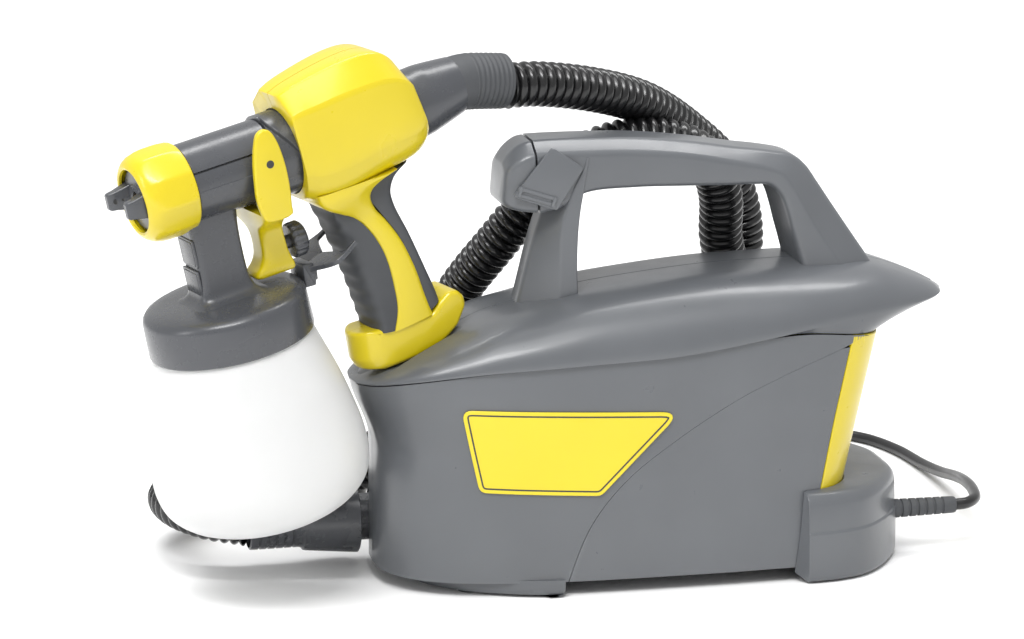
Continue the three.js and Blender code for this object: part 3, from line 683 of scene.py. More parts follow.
def front_foot():
    """The moulded foot under the nose: a low skirt with a rounded lower edge."""
    half = catmull([(-150, 0), (-145, 27), (-126, 48), (-102, 61), (-80, 68.2), (-67, 69.4)], 10)
    outline = np.vstack([half, half[::-1] * (1, -1)])
    levels = [(9, 1), (4, 1), (1.2, 2), (0.2, 3.6), (0, 6), (0, 10.6)]
    rings = [[(x, y, z) for x, y in inset(outline, d)] for d, z in levels]
    return Build().rings(rings)


def band_edge(z):
    return np.interp(z, [b[1] for b in BAND_LINE], [b[0] for b in BAND_LINE])


def rear_shell(side):
    rows = []
    for z in np.linspace(BODY_BOTTOM, 137.5, 60):
        left = np.interp(z - SEAM_GAP, SEAM[:, 1], SEAM[:, 0]) + SEAM_GAP
        right = band_edge(z) - SEAM_GAP
        ends = girth_at(left, z), girth_at(max(right, left + 0.5), z)
        rows.append([on_body(side * g, z) for g in np.linspace(*ends, 48)])
    return rows


def rear_band():
    low = 44
    rows = []
    for t in np.linspace(0, 1, 40):
        arc = []
        for u in np.linspace(-1, 1, 81):
            z = low + (130 - low) * t
            for _ in range(5):
                g0 = girth_at(band_edge(z) + SEAM_GAP, z)
                g = HALF_GIRTH - (HALF_GIRTH - g0) * abs(u)
                place = on_body(math.copysign(g, u), z)
                z = low + (underside(place[0]) - SEAM_GAP - low) * t
            arc.append(place)
        rows.append(arc)
    return rows


def carve(target, shape):
    """Cuts a shape, given in the unit's frame, out of a piece and keeps the result as its mesh."""
    mesh = bpy.data.meshes.new("cutter")
    mesh.from_pydata([UNIT @ Vector(v) for v in shape.verts], [], shape.faces)
    work = bmesh.new()
    work.from_mesh(mesh)
    bmesh.ops.recalc_face_normals(work, faces=work.faces)
    work.to_mesh(mesh)
    work.free()
    cutter = bpy.data.objects.new("cutter", mesh)
    bpy.context.collection.objects.link(cutter)
    boolean = target.modifiers.new("cut", "BOOLEAN")
    boolean.operation = "DIFFERENCE"
    boolean.solver = "EXACT"
    boolean.object = cutter
    view = bpy.context.evaluated_depsgraph_get()
    done = bpy.data.meshes.new_from_object(target.evaluated_get(view))
    target.modifiers.remove(boolean)
    target.data = done
    bpy.data.objects.remove(cutter)


def lower_body():
    front = on_unit("shell_front", front_shell(), "housing", ["front_shell"])
    soften(front, 0.7)
    foot = on_unit("shell_front_foot", front_foot(), "housing")
    soften(foot, 0.5)
    near = on_unit("shell_rear_right", solid_grid(rear_shell(-1)), "housing", ["rear_shell"])
    soften(near, 0.7)
    far = on_unit("shell_rear_left", solid_grid(rear_shell(1)), "housing")
    filter_opening = rounded([(11.5, 27.5), (58.5, 27.5), (58.5, 74.5), (11.5, 74.5)], 3)
    carve(far, Build().prism(filter_opening, 45, 90, 0.2, 1))
    soften(far, 0.6)
    band = on_unit("rear_band_panel", solid_grid(rear_band()), "yellow_plastic", ["rear_band"])
    soften(band, 0.8)


lower_body()


# ---------------------------------------------------------------- turbine unit: hull and deck
HULL_SHARE = 0.42                # width of the flat deck as a share of the hull
FOOT_Z = -140.5                  # underside of the grip's foot in the gun's frame
HANDLE_W = 15.5                  # half width of the hand grip


def hull():
    """Closed: the underside, the edge, the rising side and the flat deck, all as rings round the hull."""
    half = spaced(HULL_HALF, 130)
    edge = np.vstack([half, half[-2:0:-1] * (1, -1)])
    low = np.array([along(CREASE, x) + SEAM_GAP for x, _ in edge])
    rings = []
    corner = 55
    fore = girth_at(corner, 140)
    beyond = length_of(half[half[:, 0] > corner])
    for t in (1.0, 0.75, 0.5, 0.25, 0.03):
        ring = []
        for k, ((x, y), z) in enumerate(zip(edge, low)):
            side = -1 if k >= len(half) else 1
            place = k if side > 0 else len(edge) - k
            if x < corner:
                g = girth_at(x, z)
            else:
                run = length_of(half[:place + 1][half[:place + 1, 0] > corner])
                g = fore + (HALF_GIRTH - fore) * run / beyond
            foot = on_body(side * g, 140, -1.2)
            for _ in range(4):
                foot = on_body(side * g, underside(foot[0]) + SEAM_GAP, -1.2)
            foot[2] = min(foot[2], z - 0.3)
            ring.append((x + (foot[0] - x) * t, y + (foot[1] - y) * t, z + (foot[2] - z) * t))
        rings.append(ring)
    last = math.radians(80)
    for t in np.linspace(0, 1, 26):
        turn = t * last
        share = math.sin(turn) / math.sin(last)
        width = HULL_SHARE + (1 - HULL_SHARE) * (math.cos(turn) - math.cos(last)) / (1 - math.cos(last))
        ring = []
        for (x, y), z in zip(edge, low):
            top = max(along(DECK, x), z + 1.2)
            ring.append((x * (1 - 0.03 * t), y * width, z + 0.6 + (top - z - 0.6) * share))
        rings.append(ring)
    brim = rings[-1]
    for k in (0.85, 0.55, 0.25, 0.02):
        rings.append([(x, y * k, z + 0.8 * (1 - k * k)) for x, y, z in brim])
    return Build().rings(rings)


def seat_cutter():
    """The space for the grip's foot, in the unit's frame."""
    outline = rounded([
        (50, -60), (58.2, -133), (61.6, -140.3), (67.2, FOOT_Z - 1.2), (95.7, FOOT_Z - 1.2),
        (114, -138.8), (126.4, -131), (134.6, -120.4), (137, -60),
    ], 2, 4)
    block = Build().prism(outline, -HANDLE_W - 2.6, HANDLE_W + 2.6, 1.5, 3)
    to_unit = UNIT.inverted() @ GUN
    return block.moved(lambda x, y, z: to_unit @ Vector((x, y, z)))


def top_cover():
    made = on_unit("hull_cover", hull(), "housing", ["top_cover"], 40)
    carve(made, seat_cutter())
    for polygon in made.data.polygons:
        polygon.use_smooth = True
    made.data.set_sharp_from_angle(angle=math.radians(32))


top_cover()


# ---------------------------------------------------------------- turbine unit: carry handle
# outer point, inner point, half depth at the inner side, set-back of the outer edge,
# half depth of the ridge
BAR_STATIONS = [
    ((-73.5, 260), (-71, 218), 22.4, 7, 12),
    ((-60, 260.2), (-58, 221), 22.4, 7, 12),
    ((-40, 260), (-43, 229), 22.3, 7, 12),
    ((-11, 259), (-14, 230.8), 22.1, 7, 12),
    ((22, 255.4), (18, 230.2), 22, 7, 12),
    ((49, 251), (42, 229.6), 22, 8, 12),
    ((70, 248), (58, 229.4), 22, 10, 12),
    ((84, 244.6), (68, 228.2), 22, 13, 12),
    ((92.5, 238), (74.6, 221.5), 22.2, 15.5, 12),
    ((100, 227.5), (78.6, 211), 22.4, 16.5, 12),
    ((108.5, 215), (81.6, 200), 22.6, 17.5, 12),
    ((118, 201), (84.6, 190), 23, 18.5, 13),
    ((129, 185), (87.4, 180), 24, 20, 14),
    ((143, 165), (90, 164), 26, 22, 15),
]
NOSE_STATIONS = [
    ((-91.6, 244), (-93.4, 226.5), 13, 3, 8),
    ((-90.8, 247.5), (-92.6, 223.6), 17, 4, 9.5),
    ((-88, 252), (-89, 221.4), 20, 6, 10.5),
    ((-83.5, 256.3), (-83, 219.8), 21.7, 7, 11),
    ((-78.6, 258.8), (-77.5, 219), 22.3, 7, 12),
    ((-74.4, 259.6), (-72.2, 218.4), 22.4, 7, 12),
]


def bar_ring(outer, inner, w, back, ridge):
    rise = np.array(outer, float) - np.array(inner, float)
    h = np.linalg.norm(rise)
    rise /= h
    section = rounded([(-w, 0), (w, 0), (w, h - back), (ridge, h), (-ridge, h), (-w, h - back)],
                      [4.5, 4.5, 5, 7, 7, 5], 6)
    return [(inner[0] + rise[0] * a, y, inner[1] + rise[1] * a) for y, a in section]


def stations(table, per_span):
    flat = [[*o, *i, w, b, r] for o, i, w, b, r in table]
    return [((s[0], s[1]), (s[2], s[3]), s[4], s[5], s[6]) for s in catmull(flat, per_span)]


def pillar():
    """Front leg: a broad slanted face on the front corner, a narrow near face that runs up to a point."""
    levels = [
        (156, -84, -61, -48), (168, -81, -60, -48.5), (180, -78, -59.5, -49), (192, -75, -59.2, -49),
        (206, -71, -58.6, -48.5), (219, -66.5, -56, -47.2), (232, -61, -51.5, -45),
        (244, -53, -45.4, -43), (250, -48, -43.6, -42.4),
    ]
    rings = []
    for z, front, corner, back in catmull(levels, 6):
        w = 23
        r = min(4, 0.3 * (back - corner) + 0.3)
        section = rounded([(front, -8), (corner, -w), (back, -w), (back, w), (corner, w), (front, 8)],
                          [5, r, 1.2, 1.2, r, 5], 5)
        rings.append([(x, y, z) for x, y in section])
    return Build().rings(rings)


def carry_handle():
    shape = Build()
    shape.rings([bar_ring(*s) for s in stations(BAR_STATIONS, 8)])
    shape.join(pillar())
    handle = on_unit("handle_bar", shape, "housing", ["carry_handle"])
    cap = Build().rings([bar_ring(*s) for s in stations(NOSE_STATIONS, 5)])
    nose = on_unit("handle_nose", cap, "housing")
    soften(nose, 0.8)
    soften(handle, 0.5, angle=50)


carry_handle()


def accessory_flap():
    outline = rounded([(-65, 258), (-88.5, 229.5), (-62, 220.5), (-46, 245)], [2.5, 2, 2, 2.5], 4)
    shape = Build().prism(outline, -25.4, -23.3, 0.6, 3)
    across = np.array([26.5, -9.0]) / math.hypot(26.5, 9)
    down = np.array([-across[1], across[0]]) * -1
    start = np.array([-88.5, 229.5]) - down * 1.0

    def raised(left, right, low, high, y, radius):
        corners = [(left, low), (right, low), (right, high), (left, high)]
        outline = [start + across * u - down * v for u, v in corners]
        shape.prism(rounded(outline, radius, 2), y, -24.6, 0.4, 2)

    raised(1.5, 26, 0.6, 2.6, -26.2, 0.5)
    raised(1.5, 26, 4.2, 6.4, -26.4, 0.5)
    raised(2.2, 4.2, 0.4, 6.6, -26.8, 0.4)
    raised(23.3, 25.3, 0.4, 6.6, -26.8, 0.4)
    on_unit("handle_flap", shape, "dark_plastic", ["accessory_flap"], body="flap", look="housing")


accessory_flap()


# ---------------------------------------------------------------- turbine unit: rear foot
def rear_foot():
    half = catmull([(151, 0), (149, 24), (132, 54), (115, 70), (98, 76), (86, 77.4), (78.4, 77.8)], 12)
    line = np.vstack([half[::-1] * (1, -1), half[1:]])
    line = spaced(line, 121)
    d = np.gradient(line, axis=0)
    n = np.stack([d[:, 1], -d[:, 0]], axis=1)
    n /= np.linalg.norm(n, axis=1, keepdims=True)
    section = [
        (3.5, 1), (1.2, 1.6), (0.3, 3), (0, 5), (0, 30), (0.9, 31.2), (1.3, 46), (2.2, 49.8),
        (4.5, 52.6), (8, 54),
    ]
    start = girth_at(78.4, 50)
    loops = []
    for j, ((x, y), (nx, ny)) in enumerate(zip(line, n)):
        u = j / (len(line) - 1) * 2 - 1
        outer = [(x - nx * d, (y - ny * d) * (1 - 0.0006 * z), z) for d, z in section]
        g = math.copysign(HALF_GIRTH - (HALF_GIRTH - start) * abs(u), u)
        inner = [on_body(g, 54.6, 0.3), on_body(g, 30, 0.3), on_body(g, 6, 0.3)]
        loops.append(outer + inner)
    made = on_unit("foot_rear", Build().rings(loops), "housing", ["rear_foot"])
    soften(made, 0.6)


rear_foot()


# ---------------------------------------------------------------- turbine unit: labels
LABEL = [(-125, 112), (3, 106), (-45, 59), (-115, 63)]


def on_side(x, z, side, out):
    return on_body(side * girth_at(x, z), z, out)


def patch(outline, side, out, thick):
    """A thin plate lying on the body's side, with a rounded edge."""
    p = np.array(outline, float)
    middle = p.mean(axis=0)
    steps = 13
    levels = [(p, out - thick), (p, out - 0.3), (inset(p, 0.3), out)]
    levels += [(middle + (p - middle) * (1 - k / steps), out) for k in range(1, steps)]
    return Build().rings([[on_side(x, z, side, off) for x, z in q] for q, off in levels])


def labels():
    for side, name in ((-1, "right"), (1, "left")):
        outline = spaced(rounded(LABEL, [5, 5, 6, 5], 6), 160, True)
        plate = patch(outline, side, 1.5, 0.8)
        on_unit(f"label_{name}", plate, "label", [f"label_plate_{name}"])
        a, b = inset(outline, 2.2), inset(outline, 3.1)
        levels = [(a, 1.4), (a, 1.62), (b, 1.62), (b, 1.4), (a, 1.4)]
        rings = [[on_side(x, z, side, out) for x, z in points] for points, out in levels]
        line = Build().rings(rings, caps=(False, False))
        on_unit(f"label_{name}_line", line, "label", look="ink_and_hole_shade")


labels()

# ---------------------------------------------------------------- turbine unit: outlet and lead
def outlet():
    profile = [(14.4, -238), (15.6, -237.4), (15.8, -236.6)]
    for k in range(5):
        x = -233 + k * 5
        profile += [(15.8, x), (15.25, x + 0.5), (15.25, x + 1.1), (15.8, x + 1.6)]
    profile += [
        (15.8, -208), (16.2, -206.8), (17.7, -205.6), (18.1, -204), (21, -174.6), (21, -173),
        (20.2, -172.5), (14.6, -172.5), (14.4, -238),
    ]
    sleeve = Build().lathe(profile, 72, at=(0, OUTLET_Y, OUTLET_Z), caps=(False, False))
    on_unit("connector_sleeve", sleeve, "dark_plastic", ["hose_connector"])
    lugs = Build()
    for turn in (0.9, 0.9 + math.pi):
        lug = Build().prism(oblong(-196, -182, 3.4, 1.4, 3), -21.6, -18.6, 0.5, 2)
        lugs.join(lug.rolled(turn, OUTLET_Y, OUTLET_Z))
    on_unit("connector_lugs", lugs, "dark_plastic")


def lead_sleeve():
    profile = [(3.6, 139), (6.6, 139), (6.6, 141.6), (5.9, 142.2), (5.7, 146)]
    for k in range(6):
        x = 150 + k * 5.2
        profile += [
            (5.65 - 0.07 * k, x), (4.9 - 0.05 * k, x + 0.5), (4.9 - 0.05 * k, x + 1.3),
            (5.6 - 0.07 * k, x + 1.8),
        ]
    profile += [(5.05, 184.4), (4.7, 185.6), (3.6, 186)]
    sleeve = Build().lathe(profile, 40, at=(0, LEAD_Y, LEAD_Z))
    on_unit("lead_sleeve", sleeve, "rubber", ["strain_relief"])


outlet()
lead_sleeve()


# ---------------------------------------------------------------- gun: spray head
BARREL_R = 23
CUP_TOP = -82
CUP_WALL = 1.8


def hoop(x, r, a, z=0):
    """A point round the X axis; turn 0 faces the near side."""
    return x, -r * math.cos(a), z + r * math.sin(a)


def polar(xs, turns, radius):
    """Rings round the X axis whose radius is a function of X and turn."""
    return [[hoop(x, radius(x, a), a) for a in turns] for x in xs]


def turns_with(edges):
    """Angles round a circle, with close pairs at the given edges so that steps there stay crisp."""
    step = 0.006
    angles = list(np.linspace(-math.pi, math.pi, 96, endpoint=False))
    angles = [a for a in angles if min(abs(a - math.radians(e)) for e in edges) > 0.03]
    for e in edges:
        angles += [math.radians(e) - step, math.radians(e) + step]
    return sorted(angles)


def barrel():
    panel_top, panel_low, rim = 27, -2, 2.2
    turns = turns_with([
        panel_top, panel_top - rim, panel_low, 180 - panel_top, 180 + rim - panel_top, -180 - panel_low,
    ])
    xs = [-16.5, -16.1, -15, 0, 14, 21.4, 21.6, 22.6, 22.8, 33.4, 34, 34.1, 52.4]

    def radius(x, a):
        degrees = math.degrees(a)
        mirrored = degrees if abs(degrees) <= 90 else math.copysign(180, degrees) - degrees
        r = BARREL_R
        if panel_low < mirrored < panel_top and x < 22.7:
            r -= 0.55
            if mirrored > panel_top - rim or x > 21.5:
                r -= 1.3
        if x <= -16.5 or 34 <= x < 34.05:
            r -= 0.5
        if x > 34.05:
            r = 21
        return r

    return Build().rings(polar(xs, turns, radius))


def column():
    shape = Build()
    rings = []
    for z, x0, x1, hy, r in catmull([
        (-8, -24, 9, 13, 5), (-18, -23.4, 8.4, 12.6, 5), (-30, -22.4, 7, 12.2, 5),
        (-45, -22.6, 6.6, 12, 5), (-58, -23.6, 7, 12.4, 5.5), (-64.5, -25, 8.6, 13.6, 6.5),
        (-67.6, -27.5, 11.5, 16.5, 9), (-69.2, -31.5, 15.5, 20.5, 12),
    ], 6):
        rings.append([(x, y, z) for x, y in oblong(x0, x1, hy, r, 7)])
    shape.rings(rings)
    # shallow framed panels round the front of the column, one above the other
    for z0, z1, front in ((-45.5, -31, -22.9), (-63, -49.5, -23.9)):
        for rim, proud in ((1.3, 0.1), (0, 0.5)):
            low, high, side = z0 - rim, z1 + rim, 9 + rim
            outline = rounded([(-side, low), (side, low), (side, high), (-side, high)], 1.4, 3)
            plate = Build().prism(outline, -1.2, proud, 0.3, 2)
            shape.join(plate.moved(lambda x, y, z: (front - y, x, z)))
    return shape


def spray_head():
    made = on_gun("head_barrel", barrel(), "dark_plastic", ["spray_head"])
    soften(made, 0.25, 2)
    stand = on_gun("head_column", column(), "dark_plastic", flat=45)
    soften(stand, 0.3, 2)
    thread = Build()
    for k in range(5):
        x = -32.5 + k * 3
        ridge = [(18, 0), (19.6, 0), (20.3, 1), (20.3, 1.6), (19.6, 2.6), (18, 2.6)]
        thread.lathe([(r, x + step) for r, step in ridge], 64)
    on_gun("head_thread", thread, "dark_plastic")


def cap_nut():
    profile = [
        (20.6, -17.2), (24.5, -17.2), (25.4, -17.9), (26.1, -20), (26.7, -26), (26.7, -34),
        (26.2, -38.6), (25, -42.4), (23.3, -45.1), (21.4, -46.9), (19.7, -47.5), (18.5, -47),
        (18.1, -45.6), (20.2, -44), (20.8, -40), (20.6, -17.2),
    ]
    side = math.pi / 5
    rings = []
    for r, x in profile:
        ring = []
        for a in around(160):
            chord = math.cos(side / 2) / math.cos((a + 0.12) % side - side / 2)
            flat = 1 - 0.8 * smoothstep(24.6, 26.4, r) * (1 - min(chord, 0.995) / 0.995)
            ring.append(hoop(x, r * flat, a))
        rings.append(ring)
    shape = Build().rings(rings, caps=(False, False))
    on_gun("nut_grip", shape, "yellow_plastic", ["air_cap_nut"], body="cap_nut")


def air_cap():
    shape = Build().lathe([
        (5, -42.3), (16.5, -42.3), (18.6, -39.6), (18.6, -35.5), (19.4, -35.5), (19.4, -40),
        (18.6, -42.4), (17, -44.2), (9.5, -44.6), (8.6, -45.6), (6.2, -45.8), (5, -45.2), (5, -42.3),
    ], 72, caps=(False, False))
    horn = [
        (-43, 8.6, 17.6, 8), (-47, 9.4, 17.2, 6.8), (-53, 10.6, 16.8, 5.4), (-56.6, 11.2, 16.4, 5),
        (-57.8, 12, 15.8, 4.2),
    ]
    for side in (-1, 1):
        shape.rings([[(x, side * y, z) for y, z in oblong(inner, outer, half, 1.1, 3)]
                     for x, inner, outer, half in horn])
    made = on_gun("air_cap_body", shape, "dark_plastic", ["air_cap"], body="air_cap")
    soften(made, 0.35, 2)
    # near-black discs on the horns and the cap's face: painted shade standing in for the air holes, drawn
    # in the print colour
    holes = Build()
    for side in (-1, 1):
        for x, r in ((-53.6, 1.5), (-49.4, 0.8)):
            inner = 8.6 + (-43 - x) * 0.2
            plug = [(r, inner - 0.12), (r * 0.85, inner - 0.14), (r * 0.8, inner + 0.4)]
            holes.lathe([(rr, side * y) for rr, y in plug], 20, axis="y", at=(x, 0, 0))
        for z in (6.5, -6.5):
            holes.lathe([(0.9, -44.75), (0.8, -44.8), (0.75, -44.3)], 18, at=(0, side * 12, z))
    on_gun("air_cap_holes", holes, "dark_plastic", body="air_cap", look="ink_and_hole_shade")


def twist_collar():
    turns = np.linspace(-math.pi, math.pi, 180, endpoint=False)

    def radius(x, a):
        degrees = math.degrees(a)
        if x < 34.45 or x > 51.65:
            return 24.2
        step = 35.5 + 15.5 * smoothstep(72, -22, degrees)
        shown = smoothstep(84, 74, degrees) * smoothstep(-40, -26, degrees)
        return 24.8 - 1.9 * smoothstep(step + 0.5, step - 0.5, x) * shown

    xs = [34.4, *np.linspace(34.5, 51.6, 90), 51.7]
    rings = polar(xs, turns, radius)
    inside = polar([51.7, 34.4], turns, lambda x, a: 21.4)
    shape = Build().rings(rings + inside + [rings[0]], caps=(False, False))
    on_gun("collar_ring", shape, "dark_plastic", ["twist_collar"], body="collar")
    mark = Build().prism([(45.4, -0.4), (51, -0.4), (51, 0.4), (45.4, 0.4)], -25.05, -24.6, 0.05, 1)
    mark.rolled(math.radians(33))
    on_gun("collar_mark", mark, "dark_plastic", body="collar", look="ink_and_hole_shade")


# ---------------------------------------------------------------- gun: trigger
ARM_IN = 25.2
ARM_OUT = 29.5


def trigger():
    near = [
        (20, 18), (22.3, 22.4), (26, 24.2), (30, 22.6), (33, 16.5), (35, 5), (35.4, -6), (34.8, -16),
        (33.9, -23), (33.2, -28), (17, -28), (15, -23), (14, -14), (15, -4), (17, 8),
    ]
    far = [(21, 8), (23, 11), (26, 12), (30, 11), (33, 7), (35, 1), *near[6:14]]
    shape = Build()
    for side, outline in ((-1, near), (1, far)):
        lo, hi = sorted((side * ARM_IN, side * ARM_OUT))
        shape.prism(catmull(outline, 4, True), lo, hi, 1.5, 4)
        p0, p1 = sorted((side * (ARM_IN + 0.3), side * 6.5))
        peg = [(0, p0), (2.2, p0), (2.2, p1), (0, p1)]
        shape.lathe(peg, 24, axis="y", at=(PIVOT[0], 0, -8), caps=(False, False))
    rings = []
    for z, x0, x1, w in catmull([
        (-23.8, 14.9, 26.6, 29.3), (-27, 15.8, 27, 28.9), (-30, 16.4, 28.4, 25.5), (-33, 17, 31.4, 19),
        (-36.4, 17.8, 32.8, 12.6), (-40, 18.5, 33, 10), (-46, 18.8, 33.4, 9), (-54, 18, 34, 9),
        (-59, 15.4, 35.2, 9.2), (-62, 12.4, 36, 9.4), (-64.4, 11.4, 36, 9.2), (-65.6, 12, 35.4, 8.6),
    ], 4):
        r = min(4, w * 0.45)
        rings.append([(x, y, z) for x, y in oblong(x0, x1, w, [r, 2, 2, r], 5)])
    shape.rings(rings)
    made = on_gun("trigger_blade", shape, "yellow_plastic", ["trigger"], 50, "trigger")
    soften(made, 0.4, 2, 50)
    pin = Build()
    for side in (-1, 1):
        profile = [(0, side * 29.56), (1.9, side * 29.56), (2.3, side * 29.62), (2.3, side * 24)]
        pin.lathe(profile, 28, axis="y", at=(PIVOT[0], 0, PIVOT[1]), caps=(False, True))
    on_gun("trigger_pivot", pin, "steel", body="trigger", look="ink_and_hole_shade")


def flow_knob():
    rings = []
    for r, x in [(4, 32.9), (4, 38.2), (9, 38.4), (10, 39), (10.5, 40), (10.5, 45), (9.8, 46.3),
                 (8.4, 47.3), (0.5, 47.5)]:
        ring = []
        for a in around(144):
            grip = 0.75 * (0.5 - 0.5 * math.cos(18 * a)) * smoothstep(9.2, 10.3, r)
            ring.append(hoop(x, r - grip, a, -52))
        rings.append(ring)
    on_gun("knob_ribbed", Build().rings(rings), "dark_plastic", ["flow_knob"], body="flow_knob")


# ---------------------------------------------------------------- gun: lid and cup
def cup_lid():
    profile = [
        (0.5, -68.8), (22, -68.9), (36, -69.7), (42.4, -70.5), (45.4, -71.7), (47, -73.6), (47.6, -76),
        (48.1, -95), (47.8, -95.9), (46.9, -96.2), (46, -95.6), (45.8, -82), (44, -77.8), (0.5, -75.4),
    ]
    shape = Build().lathe(profile, 180, axis="z", at=(COLUMN_X, 0, 0))
    on_gun("lid_cap", shape, "dark_plastic", ["cup_lid"])


def paint_cup():
    outer = catmull([
        (44.3, CUP_TOP), (44.3, -93.6), (45.6, -95.4), (47.2, -99), (51.3, -112), (56, -128),
        (60.3, -147), (62.8, -163), (62.8, -178), (59.4, -189), (52, -197), (43.5, -201.8),
        (39, -203.4), (36.4, -204.6), (34, -205),
    ], 8)
    inner = [(r - CUP_WALL, max(z, -203.2)) for r, z in outer[::-1]]
    base = [(31, -205), (29, -203.8), (0.5, -203.6), (0.5, -201.8), (28, -201.9)]
    profile = [*outer, *base, *inner, outer[0]]
    shape = Build().lathe(profile, 128, axis="z", at=(COLUMN_X, 0, 0), caps=(False, False))
    on_gun("cup_bottle", shape, "cup_plastic", ["paint_cup"], body="cup")


def grip_fork():
    """A curved saddle on a block at the lid: one web that parts into two prongs beside the grip."""
    line = catmull([
        (40.5, -69.6), (47, -68.8), (53, -67.2), (58.5, -65.2), (64.5, -62.6), (70.4, -59.4),
    ], 8)
    shape = Build()
    count = len(line) - 1
    for side in (-1, 1):
        rings = []
        for k, (x, z) in enumerate(line):
            t = k / count
            outer = 9 + 14 * smoothstep(0.0, 0.55, t) - 2.2 * smoothstep(0.6, 1, t)
            inner = 0.05 + 18.2 * smoothstep(0.52, 0.8, t)
            half = 1.5 - 0.5 * t
            before, after = line[max(k - 1, 0)], line[min(k + 1, count)]
            slope = math.atan2(after[1] - before[1], after[0] - before[0])
            corners = [(inner, -half), (outer, -half), (outer, half + 0.5), (inner, half)]
            section = rounded(corners, 0.5 * half, 3)
            rings.append([(x - b * math.sin(slope), side * a, z + b * math.cos(slope)) for a, b in section])
        shape.rings(rings)
    block = rounded([(38.6, -79), (45.6, -79.5), (47, -73), (46.4, -66), (39.4, -65.4)], 1.2, 3)
    shape.prism(block, -9.6, 9.6, 1.2, 3)
    for low, high in ((-7.2, -3.4), (3.4, 7.2)):
        rib = rounded([(44, -78), (48.2, -77), (48.8, -71), (45, -69)], 0.8, 2)
        shape.prism(rib, low, high, 0.5, 2)
    on_gun("fork_arms", shape, "dark_plastic", ["grip_fork"])


spray_head()
cap_nut()
air_cap()
twist_collar()
trigger()
flow_knob()
cup_lid()
paint_cup()
grip_fork()


# ---------------------------------------------------------------- gun: shells, grips and foot
# top point and bottom point on the middle plane, half width, half width of the flat top, bevel height
SHELL_STATIONS = [
    ((46, 35.6), (49, -28.5), 27.4, 13, 10), ((52, 37.8), (53.5, -31), 27.9, 14, 11),
    ((60, 39.8), (60, -33), 28.5, 15, 12.5), ((77, 43), (75, -33.2), 29, 16.5, 14),
    ((91, 44.6), (90, -30.2), 29, 17.5, 15), ((102, 44.5), (103, -27.6), 28.7, 17.5, 15),
    ((110.5, 42), (114, -26), 28, 16.5, 14), ((116.5, 37.2), (122, -23.6), 26.9, 15, 12),
    ((120.4, 31.4), (127.4, -19.8), 25.4, 13.5, 9), ((123, 26.6), (130.6, -15), 23.6, 12, 7),
]
COLLAR_BORE = 25.5
NEEDLE_BORE = 9


def shell_section(station, side):
    """From the bottom round the side, up the bevel, to the top, in the leaning plane of one station."""
    xt, zt, xb, zb, w, wt, bevel = station
    height = zt - zb
    low = catmull([
        (0.01 * w, 0), (0.4 * w, 0.012), (0.72 * w, 0.075), (0.93 * w, 0.215), (w, 0.4), (w, 0.56),
        (0.985 * w, 1 - bevel / height),
    ], 5)
    high = [
        (wt + 0.6, 1 - 0.9 / height), (wt, 1 - 0.35 / height), (wt - 1, 1 - 0.1 / height),
        (wt * 0.5, 1), (0.01 * w, 1),
    ]
    steps = [low[-1] + (np.array(high[0]) - low[-1]) * t for t in (0.03, 0.5, 0.97)]
    return [(xb + (xt - xb) * h, side * max(y, 0.15), zb + height * h) for y, h in [*low, *steps, *high]]


def half_round(x, radius, side, count, rise=0.0):
    turns = np.linspace(-math.pi / 2, math.pi / 2, count)
    return [(x, side * max(radius * math.cos(a), 0.15), rise + radius * math.sin(a)) for a in turns]


def shell(side):
    """One half of the yellow housing, with the bore for the collar in its front."""
    flat = [[*top, *low, w, wt, bevel] for top, low, w, wt, bevel in SHELL_STATIONS]
    sections = [shell_section(station, side) for station in catmull(flat, 4)]
    count = len(sections[0])
    lip = [tuple(np.array(q) * 0.94 + np.array(c) * 0.06 + (-0.9, 0, 0)) for q, c in
           zip(sections[0], half_round(48, COLLAR_BORE, side, count))]
    bore = [(106, NEEDLE_BORE), (52.3, NEEDLE_BORE), (52.2, COLLAR_BORE), (46.8, COLLAR_BORE)]
    front = [half_round(x, r, side, count) for x, r in bore]
    tail = [half_round(x, 21.2, side, count, 2) for x in (127, 123)]
    rings = [*front, lip, *sections, *tail]
    shape = Build().rings(rings, close=False)
    starts = [k * count for k in range(len(rings))]
    shape.faces.append((*starts, *(k + count - 1 for k in reversed(starts))))
    return shape


FOOT = [
    (61.2, -116), (60.4, -133), (63, -139), (68, FOOT_Z), (95, FOOT_Z), (113, -137.5), (125, -130),
    (132.3, -120), (132, -114), (128.6, -109.6), (123, -108.6), (116, -113), (110, -118),
]
TOE_R = 16.6                     # the foot's front is rounded about this radius, seen from above
FRONT_EDGE = [
    (83.6, -120.3), (88.5, -108), (89.5, -94), (88, -74), (83, -59), (75, -47), (66, -40.5),
    (59.5, -36.5), (55, -32), (54, -26),
]
REAR_EDGE = [
    (104, -25.5), (94, -28.5), (87, -33), (85.6, -38), (88, -46), (93, -54), (100, -69), (105, -88),
    (107.5, -106), (109.6, -118),
]


